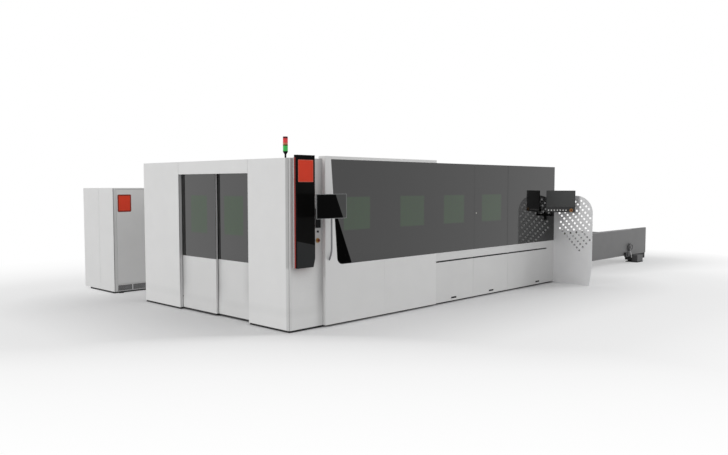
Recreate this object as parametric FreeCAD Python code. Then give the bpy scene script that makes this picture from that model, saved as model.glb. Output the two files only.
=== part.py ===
import FreeCAD, Part
import os
from math import cos, radians, sin

# Fibre laser cutting machine with exchange table. All lengths in millimetres.
# The drawing origin is the floor point under the rounded corner between the
# short face (plane X = 0) and the long operator side (plane Y = 0).
# +X runs along the operator side, +Y across the machine, +Z up.

V = FreeCAD.Vector
X_AXIS = V(1, 0, 0)
Y_AXIS = V(0, 1, 0)
Z_AXIS = V(0, 0, 1)
TINY = 0.01               # lengths closer than this count as equal

# ---- housing -----------------------------------------------------------------
HOUSE_L = 7145.0          # along X
HOUSE_W = 3891.0          # along Y
ROOF_Z = 2400.0
PANEL_Z = 30.0            # underside of every outer panel
SHEET = 3.0               # visible thickness of a folded sheet
FOLD = 18.0               # depth of a folded edge
CORNER_R = 45.0
SEAM = 3.0                # gap between neighbouring panels
ROOF_FOLD = 30.0
NEAR_L = 620.0            # length of the plain part of the operator side
BAND_Y = -36.0            # face of the fixed dark band and of the lower covers
TUBE = 80.0               # square tube of the frame
ROUND_SIDES = 16          # facets of small round pieces
BEAM_Z = 2250.0           # underside of the long beams
FOOT_H = 30.0
KICK_T = 12.0

# ---- short face: two telescopic leaves ---------------------------------------
OPENING_Y0 = 908.0
OPENING_Y1 = 2757.0
HEADER_Z = 2200.0
JAMB_X = 57.0             # inner side of the door posts
LEAF_T = 35.0
LEAF_1_X = 62.0           # outer plane of the left leaf
LEAF_2_X = 107.0          # outer plane of the right leaf
LEAF_1_Y = (1813.0, 2757.0)
LEAF_2_Y = (908.0, 1830.0)
LEAF_Z = (10.0, 2225.0)
LEAF_SILL_Z = 885.0       # top of the white lower panel, foot of the glass
LEAF_GLASS_T = 6.0
LEAF_STILE = 40.0
WINDOW_Z = (1280.0, 1865.0)
WINDOW_1_Y = (2040.0, 2490.0)
WINDOW_2_Y = (1165.0, 1646.0)
RAIL_WEB = 8.0
TRUCK_L = 120.0
HEADER_BEAM_Z = 2290.0

# ---- operator side: sliding side door ----------------------------------------
SIDE_X = (623.0, 3161.0)
SIDE_Y = -59.0            # outer plane
SIDE_T = 20.0             # depth where it passes in front of the fixed band
SIDE_STILE_Y = -8.0       # inner side of the deep left stile
SIDE_STILE = 60.0
SIDE_TOP_Z = 2440.0
SIDE_EDGE_R = 8.0
GLASS_Z = (885.0, 2397.0)
GLASS_T = 8.0
GLASS_TOP_X = 738.0       # left edge of the glass at its top
GLASS_FOOT_X = 866.0      # left edge of the glass at its foot, before rounding
GLASS_FOOT_R = 95.0
GLASS_FOOT_BULGE = 0.21   # depth of the corner's round, as a share of its legs
SIDE_WINDOW_X = ((990.0, 1545.0), (2244.0, 2834.0))
SIDE_WINDOW_Z = (1375.0, 1857.0)
SIDE_PANEL_SEAM_X = 1870.0
HANDLE_X = 700.0
HANDLE_R = 10.0
HANDLE_SIDES = 8
HANDLE_OFF = 50.0         # bar centre to door face
HANDLE_Z = (967.0, 1870.0)
HANDLE_BEND = 183.0       # height of each curved end
HANDLE_TURN = 36.0        # degrees of each bend, which runs into the door and is trimmed there

# ---- operator side: fixed band -----------------------------------------------
BAND_X0 = 3165.0
SERVICE_X = (4289.0, 5377.0)
PANE_SKIN = 6.0
PANE_RIM = 60.0
BAND_WINDOW_X = (3397.0, 3973.0)
SERVICE_WINDOW_X = (4522.0, 5149.0)
BAND_WINDOW_Z = (1373.0, 1857.0)
GROOVE_Z = 735.0
GROOVE_H = 10.0
GROOVE_END_X = 6850.0
COVER_SEAMS_X = (4264.0, 5402.0)
SLOT_X = (3695.0, 4850.0, 6510.0)
SLOT_L = 150.0
SLOT_H = 30.0
SLOT_Z = 80.0

# ---- end wall and lifting door -----------------------------------------------
PALLET_GATE_Y = (380.0, 3511.0)
PALLET_GATE_Z = (250.0, 1150.0)
END_DOOR_T = 4.0
END_DOOR_LAP = 20.0
END_DOOR_LIFT = 920.0

# ---- bed, gantry and head ----------------------------------------------------
BED_X = (700.0, 6980.0)
BED_Y = (250.0, 420.0)    # near side beam; the far one mirrors it
BED_Z = (60.0, 1050.0)
GUIDE_W = 30.0
GUIDE_H = 30.0
BRIDGE_X = (1200.0, 1560.0)
BRIDGE_Y = (250.0, 3641.0)
BRIDGE_Z = (1100.0, 1400.0)
GAP = 2.0                 # running clearance of slides
CARRIAGE_Y = (520.0, 860.0)
CARRIAGE_T = 110.0
HEAD_X = 1780.0
HEAD_R = 55.0
NOZZLE_Z = 980.0
NOZZLE_R = 14.0
NOZZLE_L = 100.0
HEAD_L = 400.0

# ---- slat pallets and exchange table -----------------------------------------
PALLET_L = 5600.0
PALLET_Y = (480.0, 3411.0)
PALLET_BAR = 60.0
PALLET_H = 120.0
UPPER_X = 1150.0
LOWER_X = 7240.0
UPPER_RAIL_Z = 640.0
LOWER_RAIL_Z = 400.0
RAIL_T = 16.0
RAIL_REACH = 500.0        # inner edge of the near pallet rail, along Y
SLATS = 13
SLAT_T = 4.0
SLAT_H = 100.0            # height of the tips over the pallet bars
TEETH = 7
TOOTH_H = 45.0
ROLLER_R = 30.0
ROLLERS = 2
ROLLER_SIDES = 8
TABLE_X = (HOUSE_L, 12950.0)
CHEEK_Y = (400.0, 460.0)
CHEEK_Z = (200.0, 880.0)
CHEEK_T = 8.0
TIE_Z = (200.0, 340.0)
END_TIE_Z = (450.0, 690.0)
TABLE_FOOT_X = (7400.0, 12060.0)
TABLE_FOOT_L = 360.0
TABLE_FOOT_Y = (240.0, 560.0)
FOOT_PLATE_T = 20.0
SKID_X = ((7400.0, 7760.0), (12020.0, 12900.0))
SKID_Z = (60.0, 200.0)
WHEEL_AT = (11905.0, 405.0)     # drive wheel on the outside of the cheek
WHEEL_R = 100.0
WHEEL_T = 60.0
GEAR_X = (11600.0, 11820.0)
GEAR_Z = (170.0, 285.0)

# ---- guard screen -------------------------------------------------------------
GUARD_Y0 = -36.0
GUARD_Y1 = -886.0
GUARD_TOP_Z = 1810.0
GUARD_T = 4.0
GUARD_R = 350.0
GUARD_TAPER = 50.0
GUARD_TAPER_Z = 350.0
HOLE_R = 20.0
HOLE_SIDES = 6
HOLE_STEP = 55.0          # half the pitch of the diagonal lattice
HOLE_FIELD_Y = (-168.0, -846.0)
HOLE_TOP_Z = 1750.0
HOLE_TIP = (-584.0, 707.0)

# ---- sign column, signal tower, switches --------------------------------------
STELE_X = (80.0, 410.0)
STELE_Z = (890.0, 2440.0)
STELE_Y = (-80.0, -22.0)
STELE_GLASS_T = 8.0
STELE_CAP_Z = 2405.0
STELE_CHAMFER = (30.0, 120.0)
TOWER_AT = (150.0, 250.0)
TOWER_R = 32.0
TOWER_POLE_R = 10.0
TOWER_Z = (2400.0, 2455.0, 2490.0, 2672.0, 2710.0)
ESTOP_AT = (530.0, 1250.0)
SWITCH_AT = (530.0, 1375.0)
COLLAR_R = 33.0
COLLAR_SIDES = 8
COLLAR_T = 12.0
ESTOP_R = 20.0
ESTOP_REACH = 40.0        # crown of the head to the wall
ESTOP_T = 18.0
STEM_HALF = 7.0
STEM_PLAY = 1.0
SWITCH_R = 14.0

# ---- terminals ----------------------------------------------------------------
TERM_W = 563.0
TERM_H = 337.0
TERM_T = 45.0
TERM_RIM_T = 14.0         # depth of the case along its edges
TERM_RIM_W = 60.0
TERM_BEZEL = 8.0
SCREEN_T = 5.0
TERM_1_AT = (167.0, -378.0, 1572.0)
TERM_2_AT = (6679.0, -116.0, 1580.0)
TERM_2_TURN = -57.3       # degrees about Z
WALL_PLATE_X = (490.0, 581.0)
WALL_PLATE_T = 12.0
WALL_PLATE_Z = (1428.0, 1700.0)
CHEEK_W = 50.0            # width of the two arms of the fork
ARM_Z = (1620.0, 1660.0)
ARM_W = 60.0
SWING_AT = (480.0, -110.0)
BOSS_W = 80.0             # boss on the back of the first terminal
BOSS_Z = (110.0, 170.0)   # over the foot of its case
SPINDLE_R = 20.0
REST_GAP = 0.3            # under a case that turns on its spindle
STRIP_H = 100.0
STRIP_T = 40.0
KEYS = 7
KEY_X0 = 45.0
KEY_PITCH = 57.0
KEY_W = 24.0
KEY_PLAY = 0.5
KEY_CHAMFER = 1.5
KEY_REACH = 8.0
STRIP_ESTOP_X = 487.0
STRIP_MID = 58.0          # below the top of the strip
ARM_2_AT = (6800.0, BAND_Y, 1400.0)
PIVOT_2_X = 120.0         # spindle of the second terminal, from the left end of its case

# ---- laser source cabinet -----------------------------------------------------
CABINET_X = (30.0, 1230.0)
CABINET_Y = (5066.0, 6275.0)
CABINET_Z = (35.0, 1969.0)
CABINET_DOOR_X = (100.0, 1200.0)
CABINET_DOOR_Z = (170.0, 1945.0)
CABINET_DOOR_T = 20.0
CABINET_SEAM_Y = 5630.0
GRILLE_X = ((105.0, 385.0), (400.0, 1170.0))
GRILLE_Z = (50.0, 146.0)
GRILLE_SLOTS = 5

# The stored frame has its origin on the floor under the middle of the whole plan.
ROW_ORIGIN = V(TABLE_X[1] / 2, (GUARD_Y1 + CABINET_Y[1]) / 2, 0)
MID_Y = HOUSE_W / 2

nodes = {}


def box(x0, x1, y0, y1, z0, z1):
    return Part.makeBox(x1 - x0, y1 - y0, z1 - z0, V(x0, y0, z0))


def keep(name, *solids):
    """Store the separate solids of one named piece."""
    nodes[name] = Part.makeCompound(list(solids)) if len(solids) > 1 else solids[0]


def fused(solids):
    return solids[0].multiFuse(solids[1:]).removeSplitter()


def across(solid):
    """The same solid on the far side of the machine's middle plane."""
    return solid.mirror(V(0, MID_Y, 0), Y_AXIS)


def both_sides(solid):
    return [solid, across(solid)]


def prism(points, direction):
    return Part.Face(Part.makePolygon(points + points[:1])).extrude(direction)


def ring_of(centre, radius, sides, across_1, across_2):
    """Corners of a regular polygon, with a flat side square to each of the two directions."""
    turns = [radians(360.0 * (i + 0.5) / sides) for i in range(sides)]
    return [centre + across_1 * (radius * cos(turn)) + across_2 * (radius * sin(turn))
            for turn in turns]


def drum(base, radius, run, sides=None):
    """Small round piece with a faceted wall; run gives its axis and its length."""
    across_1, across_2 = [axis for axis in (X_AXIS, Y_AXIS, Z_AXIS) if axis.dot(run) == 0]
    return prism(ring_of(base, radius, sides or ROUND_SIDES, across_1, across_2), run)


def pan(x0, x1, y0, y1, z0, z1, opens):
    """Folded sheet tray; opens is the side without a sheet: +x, -x, +y, -y or -z."""
    t = SHEET
    cut = {"x0": x0 + t, "x1": x1 - t, "y0": y0 + t, "y1": y1 - t, "z0": z0 + t, "z1": z1 - t}
    side = opens[1] + ("1" if opens[0] == "+" else "0")
    cut[side] += 2 * t if opens[0] == "+" else -2 * t
    return box(x0, x1, y0, y1, z0, z1).cut(box(**cut))


def vertical_edges_at(solid, x, y):
    """Upright edges of a solid over one point of the plan."""
    found = []
    for edge in solid.Edges:
        low, high = edge.Vertexes[0].Point, edge.Vertexes[-1].Point
        upright = abs(low.x - high.x) + abs(low.y - high.y) < TINY
        if upright and abs(low.x - x) + abs(low.y - y) < TINY:
            found.append(edge)
    return found


# ---- housing panels -----------------------------------------------------------

def corner_column(width_y):
    """L-shaped folded panel round the near corner, with a rounded upright edge."""
    outer = fused([box(0, FOLD, 0, width_y, PANEL_Z, ROOF_Z),
                   box(0, NEAR_L, 0, FOLD, PANEL_Z, ROOF_Z)])
    outer = outer.makeFillet(CORNER_R, vertical_edges_at(outer, 0, 0))
    low = PANEL_Z + SHEET
    high = ROOF_Z - SHEET
    inner = fused([box(SHEET, 2 * FOLD, SHEET, width_y - SHEET, low, high),
                   box(SHEET, NEAR_L - SHEET, SHEET, 2 * FOLD, low, high)])
    inner = inner.makeFillet(CORNER_R - SHEET, vertical_edges_at(inner, SHEET, SHEET))
    return outer.cut(inner)


def housing_panels():
    keep("corner_column_panel", corner_column(OPENING_Y0))
    keep("left_column_panel", across(corner_column(HOUSE_W - OPENING_Y1)))
    keep("door_header_panel",
         pan(0, FOLD, OPENING_Y0 + SEAM, OPENING_Y1 - SEAM, HEADER_Z, ROOF_Z, "+x"))

    roof_low = ROOF_Z - ROOF_FOLD
    rail_bay = FOLD + TUBE + GAP
    back = HOUSE_W - FOLD
    joints = roof_joints()
    keep("roof_panels",
         pan(FOLD, joints[0] - SEAM, FOLD, back, roof_low, ROOF_Z, "-z"),
         pan(joints[0], joints[2] - SEAM, rail_bay, back, roof_low, ROOF_Z, "-z"),
         pan(joints[2], HOUSE_L - FOLD, rail_bay, back, roof_low, ROOF_Z, "-z"))

    keep("rear_wall_panels",
         *[pan(joints[i] + SEAM / 2, joints[i + 1] - SEAM / 2, back, HOUSE_W, PANEL_Z, ROOF_Z, "-y")
           for i in range(len(joints) - 1)])

    x0 = HOUSE_L - FOLD
    gate_0, gate_1 = PALLET_GATE_Y
    keep("end_wall_panels",
         pan(x0, HOUSE_L, BAND_Y + FOLD, gate_0, PANEL_Z, ROOF_Z, "-x"),
         pan(x0, HOUSE_L, gate_1, back - SEAM, PANEL_Z, ROOF_Z, "-x"),
         pan(x0, HOUSE_L, gate_0 + SEAM, gate_1 - SEAM, PALLET_GATE_Z[1], ROOF_Z, "-x"),
         pan(x0, HOUSE_L, gate_0 + SEAM, gate_1 - SEAM, PANEL_Z, PALLET_GATE_Z[0], "-x"))


def roof_joints():
    """X of the panel joints of the roof and the rear wall, over the cross beams."""
    bay = (HOUSE_L - NEAR_L) / 4
    return [NEAR_L + bay * i for i in range(5)]


# ---- housing frame ------------------------------------------------------------

def post_plan():
    """Plan boxes of the posts: x0, x1, y0, y1, top."""
    joints = roof_joints()
    band_line = BAND_Y + FOLD
    back = HOUSE_W - FOLD
    end = HOUSE_L - FOLD
    posts = [(FOLD, JAMB_X, OPENING_Y0 - TUBE, OPENING_Y0, HEADER_BEAM_Z),
             (FOLD, JAMB_X, OPENING_Y1, OPENING_Y1 + TUBE, HEADER_BEAM_Z),
             (NEAR_L - TUBE, SIDE_X[0] + FOLD, FOLD, FOLD + TUBE, BEAM_Z)]
    for x in (BAND_X0, SERVICE_X[0] - TUBE - SEAM, SERVICE_X[1] + SEAM, end - TUBE):
        posts.append((x, x + TUBE, band_line, band_line + TUBE, BEAM_Z))
    for x in joints[:-1]:
        posts.append((x - TUBE / 2, x + TUBE / 2, back - TUBE, back, BEAM_Z))
    posts.append((end - TUBE, end, back - TUBE, back, BEAM_Z))
    posts.append((end - TUBE, end, PALLET_GATE_Y[0] - TUBE, PALLET_GATE_Y[0], BEAM_Z))
    posts.append((end - TUBE, end, PALLET_GATE_Y[1], PALLET_GATE_Y[1] + TUBE, BEAM_Z))
    return posts


def housing_frame():
    joints = roof_joints()
    back = HOUSE_W - FOLD
    end = HOUSE_L - FOLD
    roof_low = ROOF_Z - ROOF_FOLD
    header_x = FOLD + TUBE
    members = [box(x0, x1, y0, y1, FOOT_H, top) for x0, x1, y0, y1, top in post_plan()]
    members.append(box(FOLD, header_x, FOLD, back, HEADER_BEAM_Z, roof_low))
    members.append(box(header_x, end, FOLD, FOLD + TUBE, BEAM_Z, BEAM_Z + TUBE))
    members.append(box(header_x, end, back - TUBE, back, BEAM_Z, BEAM_Z + TUBE))
    beams = [x - TUBE / 2 for x in joints[:-1]] + [end - TUBE]
    for x in beams:
        members.append(box(x, x + TUBE, FOLD + TUBE, back - TUBE, BEAM_Z, roof_low))
    members.append(box(end - TUBE, end, PALLET_GATE_Y[0], PALLET_GATE_Y[1],
                       PALLET_GATE_Z[0] - TUBE, PALLET_GATE_Z[0]))
    keep("housing_frame", *members)

    kick = [box(FOLD, FOLD + KICK_T, FOLD + KICK_T, OPENING_Y0, 0, FOOT_H),
            box(FOLD, FOLD + KICK_T, OPENING_Y1, back - KICK_T, 0, FOOT_H),
            box(FOLD, end, FOLD, FOLD + KICK_T, 0, FOOT_H),
            box(FOLD, end, back - KICK_T, back, 0, FOOT_H),
            box(end - KICK_T, end, FOLD + KICK_T, back - KICK_T, 0, FOOT_H)]
    keep("kick_plates", *kick)


def foot_pads():
    """Square pads under the posts, the bed beams, the table and the cabinet."""
    pads = []
    low = FOLD + KICK_T
    for x0, x1, y0, y1, _ in post_plan():
        pads.append(box(max(x0, low), min(x1, HOUSE_L - low), max(y0, low), min(y1, HOUSE_W - low),
                        0, FOOT_H))
    for x in (BED_X[0] + TUBE, (BED_X[0] + BED_X[1]) / 2, BED_X[1] - 3 * TUBE):
        pads += both_sides(box(x, x + 2 * TUBE, BED_Y[0], BED_Y[1], 0, BED_Z[0]))
    for x, skid_x in zip(TABLE_FOOT_X, SKID_X):
        pads += both_sides(table_foot(x, skid_x))
    for x in (CABINET_X[0] + TUBE, CABINET_X[1] - 2 * TUBE):
        for y in (CABINET_Y[0] + TUBE, CABINET_Y[1] - 2 * TUBE):
            pads.append(box(x, x + TUBE, y, y + TUBE, 0, CABINET_Z[0]))
    keep("levelling_feet", *pads)


def table_foot(x, skid_x):
    """Pedestal on a floor plate, with the skid that carries a cheek of the table."""
    y0, y1 = TABLE_FOOT_Y
    edge = TUBE / 2
    return fused([box(x, x + TABLE_FOOT_L, y0, y1, 0, FOOT_PLATE_T),
                  box(x + edge, x + TABLE_FOOT_L - edge, y0 + edge, y1 - edge,
                      FOOT_PLATE_T, SKID_Z[0]),
                  box(*skid_x, CHEEK_Y[0], y1, *SKID_Z)])


# ---- fixed band of the operator side --------------------------------------------

def glazed_panel(x0, x1, z0, z1, depth, window=None):
    """Dark pane with a thicker rim behind it and an optional window aperture."""
    panel = box(x0, x1, BAND_Y, BAND_Y + depth, z0, z1)
    pocket = box(x0 + PANE_RIM, x1 - PANE_RIM, BAND_Y + PANE_SKIN, BAND_Y + 2 * depth,
                 z0 + PANE_RIM, z1 - PANE_RIM)
    panel = panel.cut(pocket)
    if window:
        panel = panel.cut(box(*window, BAND_Y - depth, BAND_Y + depth, *BAND_WINDOW_Z))
    return panel


def fixed_band():
    keep("front_panes",
         glazed_panel(BAND_X0, SERVICE_X[0] - SEAM, *GLASS_Z, FOLD, BAND_WINDOW_X),
         glazed_panel(SERVICE_X[1] + SEAM, HOUSE_L, *GLASS_Z, FOLD))
    keep("front_pane_window",
         box(*BAND_WINDOW_X, BAND_Y, BAND_Y + PANE_SKIN, *BAND_WINDOW_Z))

    covers = [pan(BAND_X0, HOUSE_L, BAND_Y, BAND_Y + FOLD, GROOVE_Z + GROOVE_H,
                  GLASS_Z[0] - SEAM, "+y")]
    edges = [BAND_X0] + list(COVER_SEAMS_X) + [HOUSE_L]
    for i in range(3):
        cover = pan(edges[i] + (SEAM if i else 0), edges[i + 1], BAND_Y, BAND_Y + FOLD,
                    PANEL_Z, GROOVE_Z, "+y")
        slot = box(SLOT_X[i] - SLOT_L / 2, SLOT_X[i] + SLOT_L / 2, BAND_Y - SHEET,
                   BAND_Y + 2 * SHEET, SLOT_Z - SLOT_H / 2, SLOT_Z + SLOT_H / 2)
        covers.append(cover.cut(slot))
    covers.append(box(GROOVE_END_X, HOUSE_L, BAND_Y, BAND_Y + SHEET, GROOVE_Z, GROOVE_Z + GROOVE_H))
    keep("lower_covers", *covers)


def service_door():
    x0, x1 = SERVICE_X
    keep("service_door_pane",
         glazed_panel(x0, x1 - SEAM, *GLASS_Z, 2 * PANE_SKIN, SERVICE_WINDOW_X))
    keep("service_door_window",
         box(*SERVICE_WINDOW_X, BAND_Y, BAND_Y + PANE_SKIN, *BAND_WINDOW_Z))


# ---- telescopic front door -------------------------------------------------------

def leaf(name, x, y_range, window):
    """One leaf: a framed lower panel, a pane over it and a filter window in the pane."""
    y0, y1 = y_range
    z0, z1 = LEAF_Z
    back = x + LEAF_T
    frame = box(x, back, y0, y1, z0, z1)
    light = box(x - LEAF_T, back + LEAF_T, y0 + LEAF_STILE, y1 - LEAF_STILE,
                LEAF_SILL_Z + LEAF_STILE, z1 - LEAF_STILE)
    rebate = box(x - LEAF_T, x + LEAF_GLASS_T, y0 - LEAF_T, y1 + LEAF_T, LEAF_SILL_Z, z1 + LEAF_T)
    hollow = box(x + SHEET, back + LEAF_T, y0 + LEAF_STILE, y1 - LEAF_STILE,
                 z0 + LEAF_STILE, LEAF_SILL_Z - LEAF_STILE)
    frame = frame.cut(light).cut(rebate).cut(hollow)
    mid = x + LEAF_T / 2
    trucks = [truck(mid, y0 + LEAF_STILE), truck(mid, y1 - LEAF_STILE - TRUCK_L)]
    keep(name + "_frame", fused([frame] + trucks))
    aperture = box(x, x + LEAF_GLASS_T, *window, *WINDOW_Z)
    pane = box(x, x + LEAF_GLASS_T, y0, y1, LEAF_SILL_Z, z1)
    keep(name + "_glass", pane.cut(aperture))
    keep(name + "_window", aperture)


def truck(x, y):
    """Guide block on top of a leaf, slotted for the rail web."""
    top = HEADER_BEAM_Z - FOLD
    block = box(x - 3 * GAP - RAIL_WEB, x + 3 * GAP + RAIL_WEB, y, y + TRUCK_L, LEAF_Z[1], top)
    slot = box(x - RAIL_WEB / 2 - GAP, x + RAIL_WEB / 2 + GAP, y - GAP, y + TRUCK_L + GAP,
               LEAF_Z[1] + 3 * GAP, top + GAP)
    return block.cut(slot)


def door_rails():
    """Overhead double rail of the leaves and the overhead rail of the side door."""
    plate_z = HEADER_BEAM_Z - FOLD + 2 * GAP
    plate = box(JAMB_X, LEAF_2_X + LEAF_T + 2 * GAP, OPENING_Y0, HOUSE_W - FOLD - TUBE - GAP,
                plate_z, HEADER_BEAM_Z)
    webs = []
    for x in (LEAF_1_X, LEAF_2_X):
        mid = x + LEAF_T / 2
        webs.append(box(mid - RAIL_WEB / 2, mid + RAIL_WEB / 2, OPENING_Y0,
                        HOUSE_W - FOLD - TUBE - GAP, LEAF_Z[1] + 5 * GAP, plate_z))
    beam_top = BEAM_Z + TUBE
    side_rail = box(SIDE_X[0], 2 * SIDE_X[1] - SIDE_X[0], FOLD + TUBE / 4, FOLD + TUBE / 2,
                    beam_top, beam_top + GUIDE_H)
    keep("door_rails", fused([plate] + webs), side_rail)


# ---- sliding side door ------------------------------------------------------------

def glass_outline(inset, y):
    """Pane outline with a slanted left edge and a rounded lower left corner."""
    left_top = GLASS_TOP_X + inset
    left_foot = GLASS_FOOT_X + inset
    z0, z1 = GLASS_Z[0] + inset, GLASS_Z[1] - inset
    slope = (left_top - left_foot) / (z1 - z0)
    r = GLASS_FOOT_R
    upper = V(left_foot + slope * r, y, z0 + r)
    lower = V(left_foot + r, y, z0)
    chord_mid = (upper + lower) * 0.5
    bulge = chord_mid + V(-r, 0, -r) * GLASS_FOOT_BULGE
    right = SIDE_X[1] - inset
    edges = [Part.LineSegment(lower, V(right, y, z0)),
             Part.LineSegment(V(right, y, z0), V(right, y, z1)),
             Part.LineSegment(V(right, y, z1), V(left_top, y, z1)),
             Part.LineSegment(V(left_top, y, z1), upper),
             Part.Arc(upper, bulge, lower)]
    return Part.Face(Part.Wire([edge.toShape() for edge in edges]))


def side_door():
    x0, x1 = SIDE_X
    back = SIDE_Y + SIDE_T
    body = box(x0 + SIDE_STILE, x1, SIDE_Y, back, PANEL_Z, SIDE_TOP_Z)
    stile = box(x0, x0 + SIDE_STILE, SIDE_Y, SIDE_STILE_Y, PANEL_Z, SIDE_TOP_Z)
    stile = stile.makeFillet(SIDE_EDGE_R, vertical_edges_at(stile, x0, SIDE_Y))
    rebate = glass_outline(0, SIDE_Y).extrude(Y_AXIS * GLASS_T)
    light = glass_outline(PANE_RIM, SIDE_Y).extrude(Y_AXIS * 2 * SIDE_T)
    left = box(x0 + SIDE_STILE + FOLD, SIDE_PANEL_SEAM_X - SHEET, SIDE_Y + SHEET, back + SHEET,
               PANEL_Z + FOLD, GLASS_Z[0] - FOLD)
    right = box(SIDE_PANEL_SEAM_X + SHEET, x1 - FOLD, SIDE_Y + SHEET, back + SHEET,
                PANEL_Z + FOLD, GLASS_Z[0] - FOLD)
    seam = box(SIDE_PANEL_SEAM_X - SHEET / 2, SIDE_PANEL_SEAM_X + SHEET / 2, SIDE_Y - SHEET,
               SIDE_Y + SHEET / 2, PANEL_Z - SHEET, GLASS_Z[0])
    for cutter in (rebate, light, left, right, seam):
        body = body.cut(cutter)

    # The top is folded back over the roof edge and hangs on the rail by two hangers.
    rail_y0 = FOLD + TUBE / 4
    rail_y1 = FOLD + TUBE / 2
    hanger_z = BEAM_Z + TUBE + GUIDE_H + GAP
    top = box(x0 + SIDE_STILE, x1, back, rail_y1 + FOLD, SIDE_TOP_Z - SHEET, SIDE_TOP_Z)
    hangers = []
    for x in (x0 + 2 * SIDE_STILE, x1 - 4 * SIDE_STILE):
        block = box(x, x + 2 * SIDE_STILE, rail_y0 - 5 * GAP, rail_y1 + 5 * GAP,
                    hanger_z - GUIDE_H / 2, SIDE_TOP_Z - SHEET)
        slot = box(x - GAP, x + 2 * SIDE_STILE + GAP, rail_y0 - GAP, rail_y1 + GAP,
                   hanger_z - GUIDE_H, hanger_z)
        hangers.append(block.cut(slot))
    keep("side_door_frame", body, stile, fused([top] + hangers))

    pane = glass_outline(0, SIDE_Y).extrude(Y_AXIS * GLASS_T)
    windows = []
    for window in SIDE_WINDOW_X:
        plate = box(*window, SIDE_Y, SIDE_Y + GLASS_T, *SIDE_WINDOW_Z)
        pane = pane.cut(plate)
        windows.append(plate)
    keep("side_door_glass", pane)
    keep("side_door_windows", *windows)
    keep("side_door_handle", bow_handle())


def bow_handle():
    """Bar standing off the door, both ends curved back to its face."""
    y = SIDE_Y - HANDLE_OFF
    radius = (HANDLE_BEND ** 2 + HANDLE_OFF ** 2) / (2 * HANDLE_OFF)
    low = HANDLE_Z[0] + HANDLE_BEND
    high = HANDLE_Z[1] - HANDLE_BEND
    bar = drum(V(HANDLE_X, y, low), HANDLE_R, Z_AXIS * (high - low), HANDLE_SIDES)
    bends = []
    for z, turn in ((low, HANDLE_TURN), (high, -HANDLE_TURN)):
        corners = ring_of(V(HANDLE_X, y, z), HANDLE_R, HANDLE_SIDES, X_AXIS, Y_AXIS)
        section = Part.Face(Part.makePolygon(corners + corners[:1]))
        bends.append(section.revolve(V(HANDLE_X, y + radius, z), X_AXIS, turn))
    behind = box(HANDLE_X - TUBE, HANDLE_X + TUBE, SIDE_Y, SIDE_Y + 4 * HANDLE_OFF,
                 low - radius, high + radius)
    return fused([bar] + bends).cut(behind)


# ---- end lifting door ---------------------------------------------------------------

def end_door():
    """Pallet gate door, stored raised above the opening."""
    x = HOUSE_L - FOLD - TUBE - SHEET
    y0, y1 = PALLET_GATE_Y
    z0 = PALLET_GATE_Z[0] + END_DOOR_LIFT - END_DOOR_LAP / 2
    z1 = PALLET_GATE_Z[1] + END_DOOR_LIFT + END_DOOR_LAP
    slab = box(x - END_DOOR_T, x, y0 - END_DOOR_LAP, y1 + END_DOOR_LAP, z0, z1)
    ribs = [box(x - TUBE / 2, x - END_DOOR_T, y0, y1, z, z + TUBE / 2)
            for z in (z0, (z0 + z1) / 2, z1 - TUBE / 2)]
    keep("end_door", fused([slab] + ribs))


# ---- bed, gantry, carriage and head ---------------------------------------------------

def bed():
    x0, x1 = BED_X
    solids = both_sides(box(x0, x1, *BED_Y, *BED_Z))
    mid = (BED_Y[0] + BED_Y[1]) / 2
    solids += both_sides(box(x0 + FOLD, x1 - FOLD, mid - GUIDE_W / 2, mid + GUIDE_W / 2,
                             BED_Z[1], BED_Z[1] + GUIDE_H))
    for z in (LOWER_RAIL_Z, UPPER_RAIL_Z):
        solids += both_sides(box(x0 + FOLD, x1 - FOLD, BED_Y[1], RAIL_REACH, z - RAIL_T, z))
    for x in (x0, (x0 + x1 - TUBE) / 2, x1 - TUBE):
        solids.append(box(x, x + TUBE, BED_Y[1], HOUSE_W - BED_Y[1], BED_Z[0], BED_Z[0] + TUBE))
    end_post_x = HOUSE_L - FOLD - TUBE
    post_y = PALLET_GATE_Y[0] - TUBE
    solids += both_sides(box(x1, end_post_x, post_y, post_y + TUBE, BED_Z[0], BED_Z[0] + TUBE))
    keep("bed_frame", *solids)


def gantry():
    x0, x1 = BRIDGE_X
    z0, z1 = BRIDGE_Z
    beam = box(x0, x1, *BRIDGE_Y, z0, z1)
    mid = (BED_Y[0] + BED_Y[1]) / 2
    shoes = []
    for x in (x0, x1 - 2 * TUBE):
        shoe = box(x, x + 2 * TUBE, mid - GUIDE_W, mid + GUIDE_W, BED_Z[1] + 3 * GAP, z0)
        slot = box(x - GAP, x + 2 * TUBE + GAP, mid - GUIDE_W / 2 - GAP, mid + GUIDE_W / 2 + GAP,
                   BED_Z[1], BED_Z[1] + GUIDE_H + GAP)
        shoes += both_sides(shoe.cut(slot))
    tracks = [box(x1, x1 + GUIDE_W / 2, BRIDGE_Y[0] + TUBE, BRIDGE_Y[1] - TUBE, z, z + GUIDE_W)
              for z in (z0 + GUIDE_W, z1 - 2 * GUIDE_W)]
    keep("gantry_bridge", fused([beam] + shoes + tracks))


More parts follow.
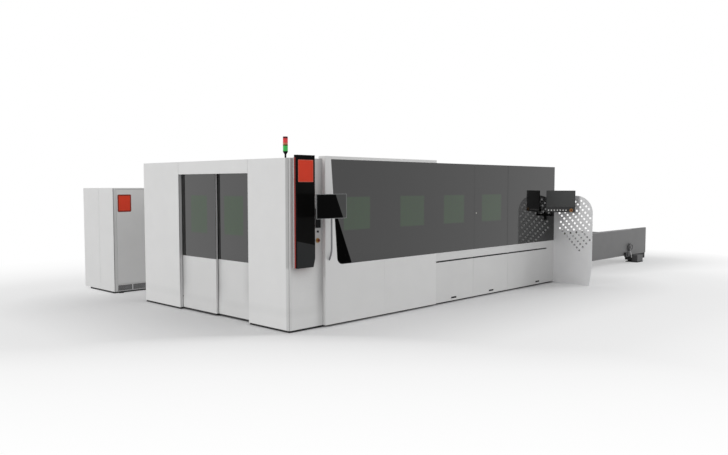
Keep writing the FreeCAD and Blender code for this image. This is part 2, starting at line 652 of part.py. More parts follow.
def carriage_and_head():
    """Carriage on the bridge tracks and the head that it carries, nozzle down."""
    y0, y1 = CARRIAGE_Y
    x0 = BRIDGE_X[1] + GUIDE_W / 2 + GAP
    x1 = x0 + CARRIAGE_T
    z0, z1 = BRIDGE_Z
    body = box(x0, x1, y0, y1, z0 - GUIDE_W, z1 + 2 * TUBE)
    ways = [box(x1, x1 + GUIDE_W / 2, y, y + GUIDE_W / 2, z0, z1 + TUBE)
            for y in (y0 + TUBE, y1 - TUBE - GUIDE_W / 2)]
    keep("gantry_carriage", fused([body] + ways))

    y = (y0 + y1) / 2
    plate_x = x1 + GUIDE_W / 2 + GAP
    plate = box(plate_x, HEAD_X, y0 + TUBE / 2, y1 - TUBE / 2, z0 + TUBE, z1 + TUBE / 2)
    axis_x = HEAD_X + HEAD_R / 2
    barrel_z = NOZZLE_Z + NOZZLE_L
    barrel = Part.makeCylinder(HEAD_R, HEAD_L, V(axis_x, y, barrel_z))
    nozzle = drum(V(axis_x, y, NOZZLE_Z), NOZZLE_R, Z_AXIS * NOZZLE_L)
    keep("cutting_head", fused([plate, barrel, nozzle]))


# ---- pallets and exchange table ---------------------------------------------------------

def slat(x, z):
    """Upright steel strip with a row of pointed teeth along its top."""
    y0 = PALLET_Y[0] + PALLET_BAR
    y1 = PALLET_Y[1] - PALLET_BAR
    pitch = (y1 - y0) / TEETH
    foot = V(x, y0, z)
    points = [foot, V(x, y0, z + PALLET_H + SLAT_H - TOOTH_H)]
    for i in range(TEETH):
        points.append(V(x, y0 + pitch * (i + 0.5), z + PALLET_H + SLAT_H))
        points.append(V(x, y0 + pitch * (i + 1), z + PALLET_H + SLAT_H - TOOTH_H))
    points.append(V(x, y1, z))
    return prism(points, X_AXIS * SLAT_T)


def pallet(name, x0, rail_z):
    z = rail_z + GAP
    y0, y1 = PALLET_Y
    x1 = x0 + PALLET_L
    solids = [box(x0, x1, y0, y0 + PALLET_BAR, z, z + PALLET_H),
              box(x0, x1, y1 - PALLET_BAR, y1, z, z + PALLET_H),
              box(x0, x0 + PALLET_BAR, y0, y1, z, z + PALLET_H),
              box(x1 - PALLET_BAR, x1, y0, y1, z, z + PALLET_H)]
    pitch = (PALLET_L - 2 * PALLET_BAR) / SLATS
    solids += [slat(x0 + PALLET_BAR + pitch * (i + 0.5), z) for i in range(SLATS)]
    span = PALLET_L - 8 * ROLLER_R
    for i in range(ROLLERS):
        x = x0 + 4 * ROLLER_R + span * i / (ROLLERS - 1)
        axle_z = rail_z + ROLLER_R + GAP / 4
        solids += both_sides(drum(V(x, y0 - FOLD + 2 * GAP, axle_z), ROLLER_R,
                                  Y_AXIS * (FOLD - 2 * GAP), ROLLER_SIDES))
    keep(name, fused(solids))


def exchange_table():
    x0, x1 = TABLE_X
    y0, y1 = CHEEK_Y
    z0, z1 = CHEEK_Z
    cheek = box(x0, x1, y0, y1, z0, z1)
    hollow = box(x0 + CHEEK_T, x1 - CHEEK_T, y0 + CHEEK_T, y1 + CHEEK_T, z0 + CHEEK_T, z1 - CHEEK_T)
    solids = both_sides(cheek.cut(hollow))
    for z in (LOWER_RAIL_Z, UPPER_RAIL_Z):
        solids += both_sides(box(x0 + CHEEK_T, x1 - TUBE, y0 + CHEEK_T, RAIL_REACH, z - RAIL_T, z))
    for x in (x0, (x0 + x1) / 2, TABLE_FOOT_X[1]):
        solids.append(box(x, x + PALLET_BAR, y1, HOUSE_W - y1, *TIE_Z))
    solids.append(box(x1 - PALLET_BAR, x1, y1, HOUSE_W - y1, *END_TIE_Z))
    keep("shuttle_frame", *solids)

    wheel_x, wheel_z = WHEEL_AT
    wheel = drum(V(wheel_x, y0 - WHEEL_T, wheel_z), WHEEL_R, Y_AXIS * WHEEL_T)
    gear = box(*GEAR_X, y0 - WHEEL_T, y0, *GEAR_Z)
    keep("shuttle_drive", wheel, gear)


# ---- guard screen -------------------------------------------------------------------------

def clear_of_round(y, z, centre_y, side):
    """False for a point too near the rounded top corner on that side of the screen."""
    past = (y - centre_y) * side
    above = z - (GUARD_TOP_Z - GUARD_R)
    in_corner = past > 0 and above > 0
    return not in_corner or (past ** 2 + above ** 2) ** 0.5 < GUARD_R - 2 * HOLE_R


def guard_holes():
    """Centres (y, z) of the diagonal lattice, inside a field whose foot is a V."""
    tip_y, tip_z = HOLE_TIP
    far_y, near_y = HOLE_FIELD_Y[1], HOLE_FIELD_Y[0]
    reach = int((near_y - far_y) / HOLE_STEP) + 1
    centres = []
    for row in range(int((HOLE_TOP_Z - tip_z) / HOLE_STEP) + 1):
        z = tip_z + row * HOLE_STEP
        for k in range(-reach, reach + 1):
            y = tip_y + k * HOLE_STEP
            on_lattice = (k + row) % 2 == 0 and abs(k) <= row
            in_field = (far_y <= y <= near_y and clear_of_round(y, z, GUARD_Y1 + GUARD_R, -1)
                        and clear_of_round(y, z, GUARD_Y0 - GUARD_R, 1))
            if on_lattice and in_field:
                centres.append((y, z))
    return centres


def punched_hole(x, y, z):
    """Outline of one hole in the plane of the screen."""
    corners = ring_of(V(x, y, z), HOLE_R, HOLE_SIDES, Y_AXIS, Z_AXIS)
    return Part.makePolygon(corners + corners[:1])


def guard_screen():
    x = HOUSE_L
    top = GUARD_TOP_Z
    turn = GUARD_R * (1 - cos(radians(45)))
    foot = GUARD_Y1 + GUARD_TAPER
    edges = [Part.LineSegment(V(x, GUARD_Y0, 0), V(x, foot, 0)),
             Part.LineSegment(V(x, foot, 0), V(x, GUARD_Y1, GUARD_TAPER_Z)),
             Part.LineSegment(V(x, GUARD_Y1, GUARD_TAPER_Z), V(x, GUARD_Y1, top - GUARD_R)),
             Part.Arc(V(x, GUARD_Y1, top - GUARD_R), V(x, GUARD_Y1 + turn, top - turn),
                      V(x, GUARD_Y1 + GUARD_R, top)),
             Part.LineSegment(V(x, GUARD_Y1 + GUARD_R, top), V(x, GUARD_Y0 - GUARD_R, top)),
             Part.Arc(V(x, GUARD_Y0 - GUARD_R, top), V(x, GUARD_Y0 - turn, top - turn),
                      V(x, GUARD_Y0, top - GUARD_R)),
             Part.LineSegment(V(x, GUARD_Y0, top - GUARD_R), V(x, GUARD_Y0, 0))]
    outer = Part.Wire([edge.toShape() for edge in edges])
    holes = [punched_hole(x, y, z) for y, z in guard_holes()]
    plate = Part.Face([outer] + holes).extrude(X_AXIS * GUARD_T)
    flange = box(x, x + GUARD_T, GUARD_Y0, TUBE, 0, top - GUARD_R)
    keep("guard_screen", fused([plate, flange]))


# ---- sign column, tower, switches -----------------------------------------------------------

def sign_column():
    x0, x1 = STELE_X
    z0, z1 = STELE_Z
    y0, y1 = STELE_Y
    side, rise = STELE_CHAMFER

    def slab(ya, yb, top):
        outline = [V(x0, ya, z0), V(x1 - side, ya, z0), V(x1, ya, z0 + rise),
                   V(x1, ya, top), V(x0, ya, top)]
        return prism(outline, Y_AXIS * (yb - ya))

    glass_back = y0 + STELE_GLASS_T
    cap = box(x0, x1, glass_back, y1, STELE_CAP_Z, z1)
    keep("stele_front", fused([slab(y0, glass_back, z1), cap]))
    mounts = [box(x0 + TUBE, x1 - TUBE, y1, 0, z, z + TUBE) for z in (z0 + 2 * TUBE, ROOF_Z - 3 * TUBE)]
    keep("stele_housing", fused([slab(glass_back, y1, STELE_CAP_Z)] + mounts))


def signal_tower():
    pole_z, base_z, lens_z, cap_z, top_z = TOWER_Z
    foot = V(*TOWER_AT, 0)
    pole = drum(foot + Z_AXIS * pole_z, TOWER_POLE_R, Z_AXIS * (base_z - pole_z))
    base = drum(foot + Z_AXIS * base_z, TOWER_R, Z_AXIS * (lens_z - base_z))
    keep("tower_base", fused([pole, base]))
    lens = drum(foot + Z_AXIS * lens_z, TOWER_R, Z_AXIS * (cap_z - lens_z))
    cap = drum(foot + Z_AXIS * cap_z, TOWER_R - GAP, Z_AXIS * (top_z - cap_z))
    keep("tower_lenses", fused([lens, cap]))


def mushroom(at_x, at_z):
    """Push head on a square stem, pressed along +Y towards the plane Y = 0."""
    head = drum(V(at_x, -ESTOP_REACH, at_z), ESTOP_R, Y_AXIS * ESTOP_T)
    stem = box(at_x - STEM_HALF, at_x + STEM_HALF, ESTOP_T - ESTOP_REACH, -3 * GAP,
               at_z - STEM_HALF, at_z + STEM_HALF)
    return fused([head, stem])


def stem_bore(at_x, at_z, depth):
    half = STEM_HALF + STEM_PLAY
    return box(at_x - half, at_x + half, -2 * COLLAR_T, depth, at_z - half, at_z + half)


def collar(at_x, at_z):
    """Eight-sided plate round an emergency stop's stem, standing on the plane Y = 0."""
    plate = drum(V(at_x, -COLLAR_T, at_z), COLLAR_R, Y_AXIS * COLLAR_T, COLLAR_SIDES)
    return plate.cut(stem_bore(at_x, at_z, GAP))


def wall_switches():
    x, z = ESTOP_AT
    knob_x, knob_z = SWITCH_AT
    keep("switch_collars", collar(x, z))
    keep("estop_head_1", mushroom(x, z))
    knob = drum(V(knob_x, -COLLAR_T - STEM_PLAY / 2, knob_z), SWITCH_R, Y_AXIS * COLLAR_T)
    wing = box(knob_x - 3 * GAP / 2, knob_x + 3 * GAP / 2, -2 * COLLAR_T, -COLLAR_T - STEM_PLAY / 2,
               knob_z - SWITCH_R + GAP, knob_z + SWITCH_R - GAP)
    keep("rotary_switch", fused([knob, wing]))


# ---- terminals --------------------------------------------------------------------------------

def terminal_case(with_boss):
    """Flat screen case in its own frame: left end at x = 0, screen towards -y, foot at z = 0."""
    case = box(0, TERM_W, 0, TERM_RIM_T, 0, TERM_H)
    corners = [edge for edge in case.Edges if abs(edge.Length - TERM_RIM_T) < TINY]
    back = box(TERM_RIM_W, TERM_W - TERM_RIM_W, TERM_RIM_T, TERM_T, TERM_RIM_W, TERM_H - TERM_RIM_W)
    case = case.makeFillet(TERM_BEZEL, corners).fuse(back)
    recess = box(TERM_BEZEL, TERM_W - TERM_BEZEL, -GAP, SCREEN_T, TERM_BEZEL, TERM_H - TERM_BEZEL)
    case = case.cut(recess)
    screen = box(TERM_BEZEL, TERM_W - TERM_BEZEL, 0, SCREEN_T, TERM_BEZEL, TERM_H - TERM_BEZEL)
    if with_boss:
        boss = box((TERM_W - BOSS_W) / 2, (TERM_W + BOSS_W) / 2, TERM_T, TERM_T + BOSS_W, *BOSS_Z)
        case = case.fuse(boss).removeSplitter()
    return case, screen


def terminal_1():
    x, y, z = TERM_1_AT
    case, screen = terminal_case(True)
    shift = V(x, y, z)
    keep("terminal_1_housing", case.translated(shift))
    keep("terminal_1_screen", screen.translated(shift))

    plate = box(*WALL_PLATE_X, -WALL_PLATE_T, 0, *WALL_PLATE_Z)
    swing_x, swing_y = SWING_AT
    fork = [drum(V(swing_x, swing_y, level), ARM_W / 2, Z_AXIS * (TUBE / 4))
            for level in (ARM_Z[0] - GAP - TUBE / 4, ARM_Z[1] + GAP)]
    cheek_x = WALL_PLATE_X[0]
    cheeks = [box(cheek_x, cheek_x + CHEEK_W, swing_y, -WALL_PLATE_T, level, level + TUBE / 4)
              for level in (ARM_Z[0] - GAP - TUBE / 4, ARM_Z[1] + GAP)]
    keep("terminal_1_bracket", fused([plate] + fork + cheeks))

    pivot = V(x + TERM_W / 2, y + TERM_T + BOSS_W / 2, 0)
    link = arm_link(V(swing_x, swing_y, 0), pivot, *ARM_Z)
    spindle = drum(V(pivot.x, pivot.y, ARM_Z[1]), SPINDLE_R - GAP,
                   Z_AXIS * (z + BOSS_Z[0] - REST_GAP - ARM_Z[1]))
    keep("terminal_1_arm", fused([link, spindle]))


def arm_link(start, end, z0, z1):
    """Flat link with round ends between two vertical axes."""
    run = end - start
    side = V(-run.y, run.x, 0).normalize() * (ARM_W / 2 - GAP)
    base = V(0, 0, z0)
    bar = prism([start + side + base, end + side + base, end - side + base, start - side + base],
                V(0, 0, z1 - z0))
    eyes = [drum(point + base, ARM_W / 2 - GAP, Z_AXIS * (z1 - z0)) for point in (start, end)]
    return fused([bar] + eyes)


def set_terminal_2(shape):
    """Turn a shape from the terminal's own frame to its place beside the guard."""
    x, y, z = TERM_2_AT
    turned = shape.copy()
    turned.rotate(V(0, 0, 0), Z_AXIS, TERM_2_TURN)
    return turned.translated(V(x, y, z))


def terminal_2():
    case, screen = terminal_case(False)
    keep("terminal_2_housing", set_terminal_2(case))
    keep("terminal_2_screen", set_terminal_2(screen))
    strip = box(0, TERM_W, 0, STRIP_T, -STRIP_H, 0)
    row_z = -STRIP_MID
    for i in range(KEYS):
        x = KEY_X0 + i * KEY_PITCH
        half = KEY_W / 2 + KEY_PLAY
        strip = strip.cut(box(x - half, x + half, -GAP, KEY_REACH * 2, row_z - half, row_z + half))
        cap = box(x - KEY_W / 2, x + KEY_W / 2, -KEY_REACH / 2, KEY_REACH, row_z - KEY_W / 2,
                  row_z + KEY_W / 2)
        front = [edge for edge in cap.Edges if edge.CenterOfMass.y < TINY - KEY_REACH / 2]
        keep("push_button_%d" % (i + 1), set_terminal_2(cap.makeChamfer(KEY_CHAMFER, front)))
    bore = stem_bore(STRIP_ESTOP_X, row_z, STRIP_T / 2)
    strip = fused([strip, collar(STRIP_ESTOP_X, row_z)]).cut(bore)
    keep("terminal_2_keypad", set_terminal_2(strip))
    keep("estop_head_2", set_terminal_2(mushroom(STRIP_ESTOP_X, row_z)))

    wall_x, wall_y, arm_z = ARM_2_AT
    pivot = set_terminal_2(Part.Vertex(PIVOT_2_X, STRIP_T / 2, 0)).Point
    link = arm_link(V(wall_x, wall_y - ARM_W / 2, 0), V(pivot.x, pivot.y, 0), arm_z, arm_z + TUBE / 2)
    foot = box(wall_x - ARM_W / 2, wall_x + ARM_W / 2, wall_y - ARM_W / 2, wall_y,
               arm_z - TUBE, arm_z + TUBE)
    top = TERM_2_AT[2] - STRIP_H - REST_GAP
    spindle = drum(V(pivot.x, pivot.y, arm_z + TUBE / 2), SPINDLE_R - GAP,
                   Z_AXIS * (top - arm_z - TUBE / 2))
    keep("terminal_2_arm", fused([link, foot, spindle]))


# ---- laser source cabinet ------------------------------------------------------------------------

def source_cabinet():
    x0, x1 = CABINET_X
    y0, y1 = CABINET_Y
    z0, z1 = CABINET_Z
    case = box(x0, x1, y0, y1, z0, z1)
    door_x0, door_x1 = CABINET_DOOR_X
    door_z0, door_z1 = CABINET_DOOR_Z
    case = case.cut(box(door_x0, door_x1, y0 - GAP, y0 + CABINET_DOOR_T, door_z0, door_z1))
    groove = box(x0 - GAP, x0 + SHEET, CABINET_SEAM_Y - SHEET / 2, CABINET_SEAM_Y + SHEET / 2,
                 z0 - GAP, z1 + GAP)
    case = case.cut(groove)
    pitch = (GRILLE_Z[1] - GRILLE_Z[0]) / GRILLE_SLOTS
    for i in range(GRILLE_SLOTS):
        z = GRILLE_Z[0] + i * pitch
        for bank in GRILLE_X:
            case = case.cut(box(*bank, y0 - GAP, y0 + CABINET_DOOR_T, z, z + pitch / 2))
    keep("cabinet_housing", case)
    panel = box(door_x0 + SHEET, door_x1 - SHEET, y0, y0 + CABINET_DOOR_T, door_z0 + SHEET,
                door_z1 - SHEET)
    keep("cabinet_front_panel", panel)


def build():
    housing_panels()
    housing_frame()
    foot_pads()
    fixed_band()
    service_door()
    leaf("leaf_1", LEAF_1_X, LEAF_1_Y, WINDOW_1_Y)
    leaf("leaf_2", LEAF_2_X, LEAF_2_Y, WINDOW_2_Y)
    door_rails()
    side_door()
    end_door()
    bed()
    gantry()
    carriage_and_head()
    pallet("pallet_upper", UPPER_X, UPPER_RAIL_Z)
    pallet("pallet_lower", LOWER_X, LOWER_RAIL_Z)
    exchange_table()
    guard_screen()
    sign_column()
    signal_tower()
    wall_switches()
    terminal_1()
    terminal_2()
    source_cabinet()


build()
os.makedirs("parts", exist_ok=True)
for name, shape in nodes.items():
    placed = shape.translated(ROW_ORIGIN * -1)
    placed.exportStep("parts/%s.step" % name)
    print(name, len(placed.Solids), placed.isValid(), round(placed.Volume / 1e6, 2))
print(len(nodes), "nodes; row origin in the drawing frame:", ROW_ORIGIN)
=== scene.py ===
from math import cos, pi, radians, sin

import bmesh
import bpy
from mathutils import Matrix, Vector


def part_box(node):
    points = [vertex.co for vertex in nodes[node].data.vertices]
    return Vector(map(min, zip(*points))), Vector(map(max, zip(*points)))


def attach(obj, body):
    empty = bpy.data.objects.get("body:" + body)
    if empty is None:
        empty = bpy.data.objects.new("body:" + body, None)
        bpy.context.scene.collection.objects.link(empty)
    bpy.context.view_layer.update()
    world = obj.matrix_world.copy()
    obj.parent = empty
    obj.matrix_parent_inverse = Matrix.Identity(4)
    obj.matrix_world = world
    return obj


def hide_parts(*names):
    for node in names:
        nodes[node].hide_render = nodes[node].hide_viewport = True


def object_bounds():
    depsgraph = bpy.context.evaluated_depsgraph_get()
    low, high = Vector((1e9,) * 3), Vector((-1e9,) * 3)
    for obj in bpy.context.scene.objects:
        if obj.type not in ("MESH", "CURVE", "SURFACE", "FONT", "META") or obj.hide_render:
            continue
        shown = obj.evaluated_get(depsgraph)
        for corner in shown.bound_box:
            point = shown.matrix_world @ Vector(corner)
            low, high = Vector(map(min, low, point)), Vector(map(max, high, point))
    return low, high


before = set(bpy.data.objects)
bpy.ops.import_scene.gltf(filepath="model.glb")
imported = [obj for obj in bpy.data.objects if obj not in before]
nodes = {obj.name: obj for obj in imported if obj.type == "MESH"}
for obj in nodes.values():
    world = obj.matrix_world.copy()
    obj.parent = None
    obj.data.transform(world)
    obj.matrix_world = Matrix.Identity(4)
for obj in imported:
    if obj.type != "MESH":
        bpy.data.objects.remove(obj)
CAD_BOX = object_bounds()

# ---- places -----------------------------------------------------------------------------
# The drawing starts at the housing's near corner: X runs along the housing, Y goes in
# from the operator, Z goes up. Named places, outlines and sizes are in millimetres.
# Profiles of turned parts, finishes, floor, lamps and camera are in metres.

KICK_BACK = 0.018                        # metres from the outer faces in to the kick plates
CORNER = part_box("kick_plates")[0] - Vector((KICK_BACK, KICK_BACK, 0))

HOUSE_X = (0, 7145)
HOUSE_Y = (0, 3891)
ROOF_TOP = 2400
TABLE_X = (7145, 12900)
TABLE_Y = (400, 3491)

ALONG = Vector((1, 0, 0))
INWARD = Vector((0, 1, 0))
OUTWARD = Vector((0, -1, 0))
UP = Vector((0, 0, 1))


def at(x, y, z):
    """A point given from the housing's near corner, in metres."""
    return CORNER + Vector((x, y, z))


def mm(x, y, z):
    """The same for millimetres of the drawing."""
    return at(x / 1000, y / 1000, z / 1000)


def length(direction, size):
    """A run of so many millimetres in a direction."""
    return direction * (size / 1000)


# ---- node helpers -----------------------------------------------------------------------

MIX_SHARE, MIX_BASE, MIX_OTHER, MIX_RESULT = 0, 6, 7, 2    # sockets of a colour mix
NUMBER_RESULTS = ("DOT_PRODUCT", "LENGTH")                 # vector operations that give a number


def object_place(tree):
    return tree.nodes.new("ShaderNodeTexCoord").outputs["Object"]


def node_material(name):
    """New material, with its node tree, its shader and its object coordinates."""
    mat = bpy.data.materials.new(name)
    mat.use_nodes = True
    tree = mat.node_tree
    return mat, tree, tree.nodes["Principled BSDF"], object_place(tree)


def feed(tree, socket, value):
    """Link an input to another node's output, or give it a plain value."""
    if isinstance(value, bpy.types.NodeSocket):
        tree.links.new(value, socket)
    else:
        socket.default_value = value


def math_step(tree, operation, first, second=None, clamp=False):
    """Result of one operation on outputs of other nodes or plain numbers."""
    node = tree.nodes.new("ShaderNodeMath")
    node.operation = operation
    node.use_clamp = clamp
    feed(tree, node.inputs[0], first)
    if second is not None:
        feed(tree, node.inputs[1], second)
    return node.outputs["Value"]


def vector_step(tree, operation, first, second=None):
    """The same for vectors."""
    node = tree.nodes.new("ShaderNodeVectorMath")
    node.operation = operation
    feed(tree, node.inputs[0], first)
    if second is not None:
        feed(tree, node.inputs[1], second)
    return node.outputs["Value" if operation in NUMBER_RESULTS else "Vector"]


def height_of(tree, where):
    split = tree.nodes.new("ShaderNodeSeparateXYZ")
    tree.links.new(where, split.inputs["Vector"])
    return split.outputs["Z"]


def remap(tree, value, source=(0.0, 1.0), target=(0.0, 1.0)):
    """Carry a value from one range to another, and hold it at the ends."""
    node = tree.nodes.new("ShaderNodeMapRange")
    for name, limit in zip(("From Min", "From Max", "To Min", "To Max"), (*source, *target)):
        node.inputs[name].default_value = limit
    tree.links.new(value, node.inputs["Value"])
    return node.outputs["Result"]


def mixed(tree, share, base, other, blend="MIX"):
    """Blend a colour into a base colour, in full where the share is 1."""
    node = tree.nodes.new("ShaderNodeMix")
    node.data_type = "RGBA"
    node.blend_type = blend
    feed(tree, node.inputs[MIX_SHARE], share)
    feed(tree, node.inputs[MIX_BASE], base)
    feed(tree, node.inputs[MIX_OTHER], other)
    return node.outputs[MIX_RESULT]


def noise(tree, where, scale, detail=2.0, stretch=None):
    """Noise of 0 to 1; a stretch is a scale for each axis."""
    tex = tree.nodes.new("ShaderNodeTexNoise")
    tex.inputs["Scale"].default_value = scale
    tex.inputs["Detail"].default_value = detail
    if stretch:
        mapping = tree.nodes.new("ShaderNodeMapping")
        mapping.inputs["Scale"].default_value = stretch
        tree.links.new(where, mapping.inputs["Vector"])
        where = mapping.outputs["Vector"]
    tree.links.new(where, tex.inputs["Vector"])
    return tex.outputs["Fac"]


def ramp(tree, factor, stops):
    """Colour ramp; stops are (position, colour)."""
    node = tree.nodes.new("ShaderNodeValToRGB")
    while len(node.color_ramp.elements) < len(stops):
        node.color_ramp.elements.new(0.5)
    for element, (position, colour) in zip(node.color_ramp.elements, stops):
        element.position = position
        element.color = (*colour, 1)
    tree.links.new(factor, node.inputs["Fac"])
    return node.outputs["Color"]


def drift(tree, factor, low, high):
    """Tone that goes from one colour to another over the middle of a noise's range."""
    return ramp(tree, factor, [(0.3, low), (0.7, high)])


def falloff(tree, distance, reach, stops):
    """Grey that follows the stops, (part of the reach, share), over a distance."""
    part = remap(tree, distance, (0.0, reach))
    return ramp(tree, part, [(place, (share,) * 3) for place, share in stops])


def bump(tree, shader, height, distance, strength=0.3):
    node = tree.nodes.new("ShaderNodeBump")
    node.inputs["Strength"].default_value = strength
    node.inputs["Distance"].default_value = distance
    tree.links.new(height, node.inputs["Height"])
    tree.links.new(node.outputs["Normal"], shader.inputs["Normal"])


def painted_nook_shade(tree, where, tone, reach, low, facing=None):
    """Painted shade: darken a tone where other surfaces stand closer than a reach, except just
    over the floor.

    With a direction given, only the faces that look that way are deepened."""
    nook_shade = tree.nodes.new("ShaderNodeAmbientOcclusion")
    nook_shade.inputs["Distance"].default_value = reach
    closed = math_step(tree, "SUBTRACT", 1.0, nook_shade.outputs["AO"])
    over_floor = remap(tree, height_of(tree, where), (reach * 0.5, reach * 1.5))
    share = math_step(tree, "MULTIPLY", math_step(tree, "SQRT", closed), over_floor)
    if facing:
        front = vector_step(tree, "DOT_PRODUCT", where.node.outputs["Normal"], facing)
        share = math_step(tree, "MULTIPLY", share, front, clamp=True)
    return mixed(tree, share, tone, (low, low, low, 1), "MULTIPLY")


# ---- kinds of finish --------------------------------------------------------------------

PATCH = 3.0                              # scale of the broad variation in colour
PATCH_DETAIL = 3.0
GRAIN = 900.0                            # scale of the fine grain
PAINT_RELIEF = 0.00003                   # depth of a powder coat's grain


def tinted(colour, amount):
    return tuple(channel * amount for channel in colour)


def surface(name, colour, rough, vary=0.03, grain=GRAIN, depth=0.00002, metal=0.0, ior=1.5,
            coat=0.0, stretch=None, patch=PATCH, gloss=0.5, nook_shade=None):
    """Opaque finish: broad soft variation in colour, fine grain in gloss and relief."""
    mat, tree, shader, where = node_material(name)
    broad = noise(tree, where, patch, PATCH_DETAIL)
    fine = noise(tree, where, grain, stretch=stretch)
    tone = drift(tree, broad, tinted(colour, 1 - vary), tinted(colour, 1 + vary))
    # painted shade in the nooks, from the occlusion by nearby surfaces
    if nook_shade:
        tone = painted_nook_shade(tree, where, tone, *nook_shade)
    roughness = remap(tree, fine, target=(rough * 0.9, rough * 1.1))
    tree.links.new(tone, shader.inputs["Base Color"])
    tree.links.new(roughness, shader.inputs["Roughness"])
    bump(tree, shader, fine, depth)
    shader.inputs["Metallic"].default_value = metal
    shader.inputs["IOR"].default_value = ior
    shader.inputs["Coat Weight"].default_value = coat
    shader.inputs["Specular IOR Level"].default_value = gloss
    return mat


def powder_coat(name, colour, rough=0.42, vary=0.012, nook_shade=None):
    return surface(name, colour, rough, vary=vary, depth=PAINT_RELIEF, nook_shade=nook_shade)


def glass(name, colour, rough=0.05, vary=0.2, **rest):
    """Opaque dark glass: an even gloss without relief."""
    return surface(name, colour, rough, vary=vary, grain=40, depth=0.0, **rest)


def bare_metal(name, colour, rough, vary=0.05, **rest):
    return surface(name, colour, rough, vary=vary, metal=1.0, **rest)


def lens(name, colour, rough=0.25):
    return surface(name, colour, rough, vary=0.08, ior=1.49, coat=0.5)


# ---- materials --------------------------------------------------------------------------

WHITE = (0.80, 0.80, 0.795)
BLACK = (0.010, 0.010, 0.011)

# Powder coats; a nook shade is (reach, tone left in it), painted shade in corners and recesses.
white_paint = powder_coat("white_powder_coat", WHITE, nook_shade=(0.36, 0.52))
corner_paint = powder_coat("corner_powder_coat", WHITE, nook_shade=(0.36, 0.48))
door_paint = powder_coat("door_powder_coat", WHITE)
cover_paint = powder_coat("cover_powder_coat", tinted(WHITE, 0.92), 0.45, vary=0.015)
cabinet_paint = powder_coat("cabinet_powder_coat", tinted(WHITE, 0.98), 0.45)
panel_paint = powder_coat("cabinet_panel_coat", tinted(WHITE, 1.09), 0.45)
red_paint = powder_coat("red_powder_coat", (0.30, 0.028, 0.022), 0.4, vary=0.03)

# Frames, seams and the foot of the machine.
frame_paint = surface("frame_grey_paint", (0.20, 0.205, 0.21), 0.5, vary=0.06)
# the housing's white paint toned down to grey: painted shade in the recesses the posts stand in
post_paint_shaded = surface("post_light_grey", (0.70, 0.70, 0.70), 0.5)
# painted shade: grey of the shaded gap between the sign column and the housing
spacer_shade_grey = surface("spacer_shade_grey", (0.55, 0.55, 0.55), 0.5)
kick_paint = surface("kick_plate_black", (0.012, 0.012, 0.012), 0.7, vary=0.1)
foot_rubber = surface("foot_rubber", (0.03, 0.03, 0.03), 0.85, vary=0.15, depth=0.0002)
seam_and_shadow_black = surface("seam_and_shadow_black", (0.008, 0.008, 0.008), 0.8, vary=0.1)

# Panes, filter windows and the front of the sign column.
pane_gloss = glass("dark_pane", (0.004, 0.004, 0.004), ior=1.66)
leaf_gloss = glass("door_pane", (0.004, 0.004, 0.004), ior=1.78)
filter_gloss = glass("filter_window", (0.007, 0.038, 0.005), vary=0.06, ior=1.68)
stele_gloss = glass("stele_glass", (0.0060, 0.0058, 0.0056), 0.10, gloss=0.02)
# Painted reflection: grey of the floor as reflected in the lower part of the sign column's glass.
stele_reflection_grey = glass("stele_reflection_grey", (0.036, 0.037, 0.038), 0.30, vary=0.05, gloss=0.02)
# Painted reflection: black wedge laid on the side door's glass, for a dark reflection in it.
reflection_wedge_black = surface("reflection_wedge_black", (0.0035, 0.0035, 0.0035), 0.7, vary=0.2, gloss=0.0)

# Bare metal; the grain of the rails and of the handle runs along them.
rail_steel = bare_metal("rail_steel", (0.55, 0.55, 0.56), 0.28, stretch=(1, 1, 12))
handle_steel = bare_metal("handle_steel", (0.20, 0.20, 0.21), 0.34, stretch=(12, 12, 1))
head_metal = bare_metal("head_aluminium", (0.62, 0.62, 0.64), 0.3, stretch=(1, 1, 30))
bolt_zinc = bare_metal("zinc_bolts", (0.55, 0.54, 0.50), 0.4, vary=0.1)

# Red plates of the sign column and of the cabinet.
plate_red = surface("red_plate", (0.78, 0.060, 0.028), 0.5, gloss=0.15)
plate_pale = surface("red_plate_pale", (0.62, 0.20, 0.15), 0.5, gloss=0.3)
plate_bright = surface("red_plate_bright", (0.92, 0.075, 0.036), 0.5, gloss=0.15)
plate_edge = surface("red_plate_edge", (0.30, 0.045, 0.030), 0.5, gloss=0.15)

# Signal tower.
tower_black = surface("tower_black", (0.006, 0.006, 0.006), 0.5, vary=0.1, gloss=0.15)
ring_olive = surface("ring_olive", (0.085, 0.10, 0.025), 0.5, vary=0.1, gloss=0.15)
cap_maroon = surface("tower_cap_maroon", (0.10, 0.012, 0.015), 0.5, vary=0.1, gloss=0.15)
lens_green = lens("lens_green", (0.006, 0.56, 0.06))
lens_amber = lens("lens_amber", (0.60, 0.17, 0.06), 0.3)
lens_red = lens("lens_red", (0.82, 0.012, 0.014))

# Exchange table, pallets and guard screen.
guard_paint = surface("guard_grey", (0.90, 0.90, 0.905), 0.48, vary=0.02)
table_paint = surface("table_grey", (0.148, 0.148, 0.149), 0.5, vary=0.04)
drive_paint = surface("drive_dark", (0.035, 0.035, 0.037), 0.5, vary=0.1)
edge_grey = surface("edge_grey", (0.27, 0.27, 0.272), 0.5, vary=0.05)
pedestal_grey = surface("pedestal_grey", (0.085, 0.085, 0.087), 0.55, vary=0.08)
wheel_grey = surface("wheel_grey", (0.16, 0.16, 0.162), 0.5, vary=0.06)
strap_and_seam_shade_grey = surface("strap_and_seam_shade_grey", (0.36, 0.36, 0.36), 0.45, vary=0.05)
pallet_paint = surface("pallet_frame", (0.10, 0.10, 0.105), 0.5, vary=0.15)
slat_steel = surface("slat_steel", (0.20, 0.185, 0.17), 0.55, metal=0.6, vary=0.35, grain=60,
                     depth=0.0004, patch=6.0)

# Gantry.
gantry_paint = surface("gantry_white", (0.62, 0.63, 0.64), 0.45)

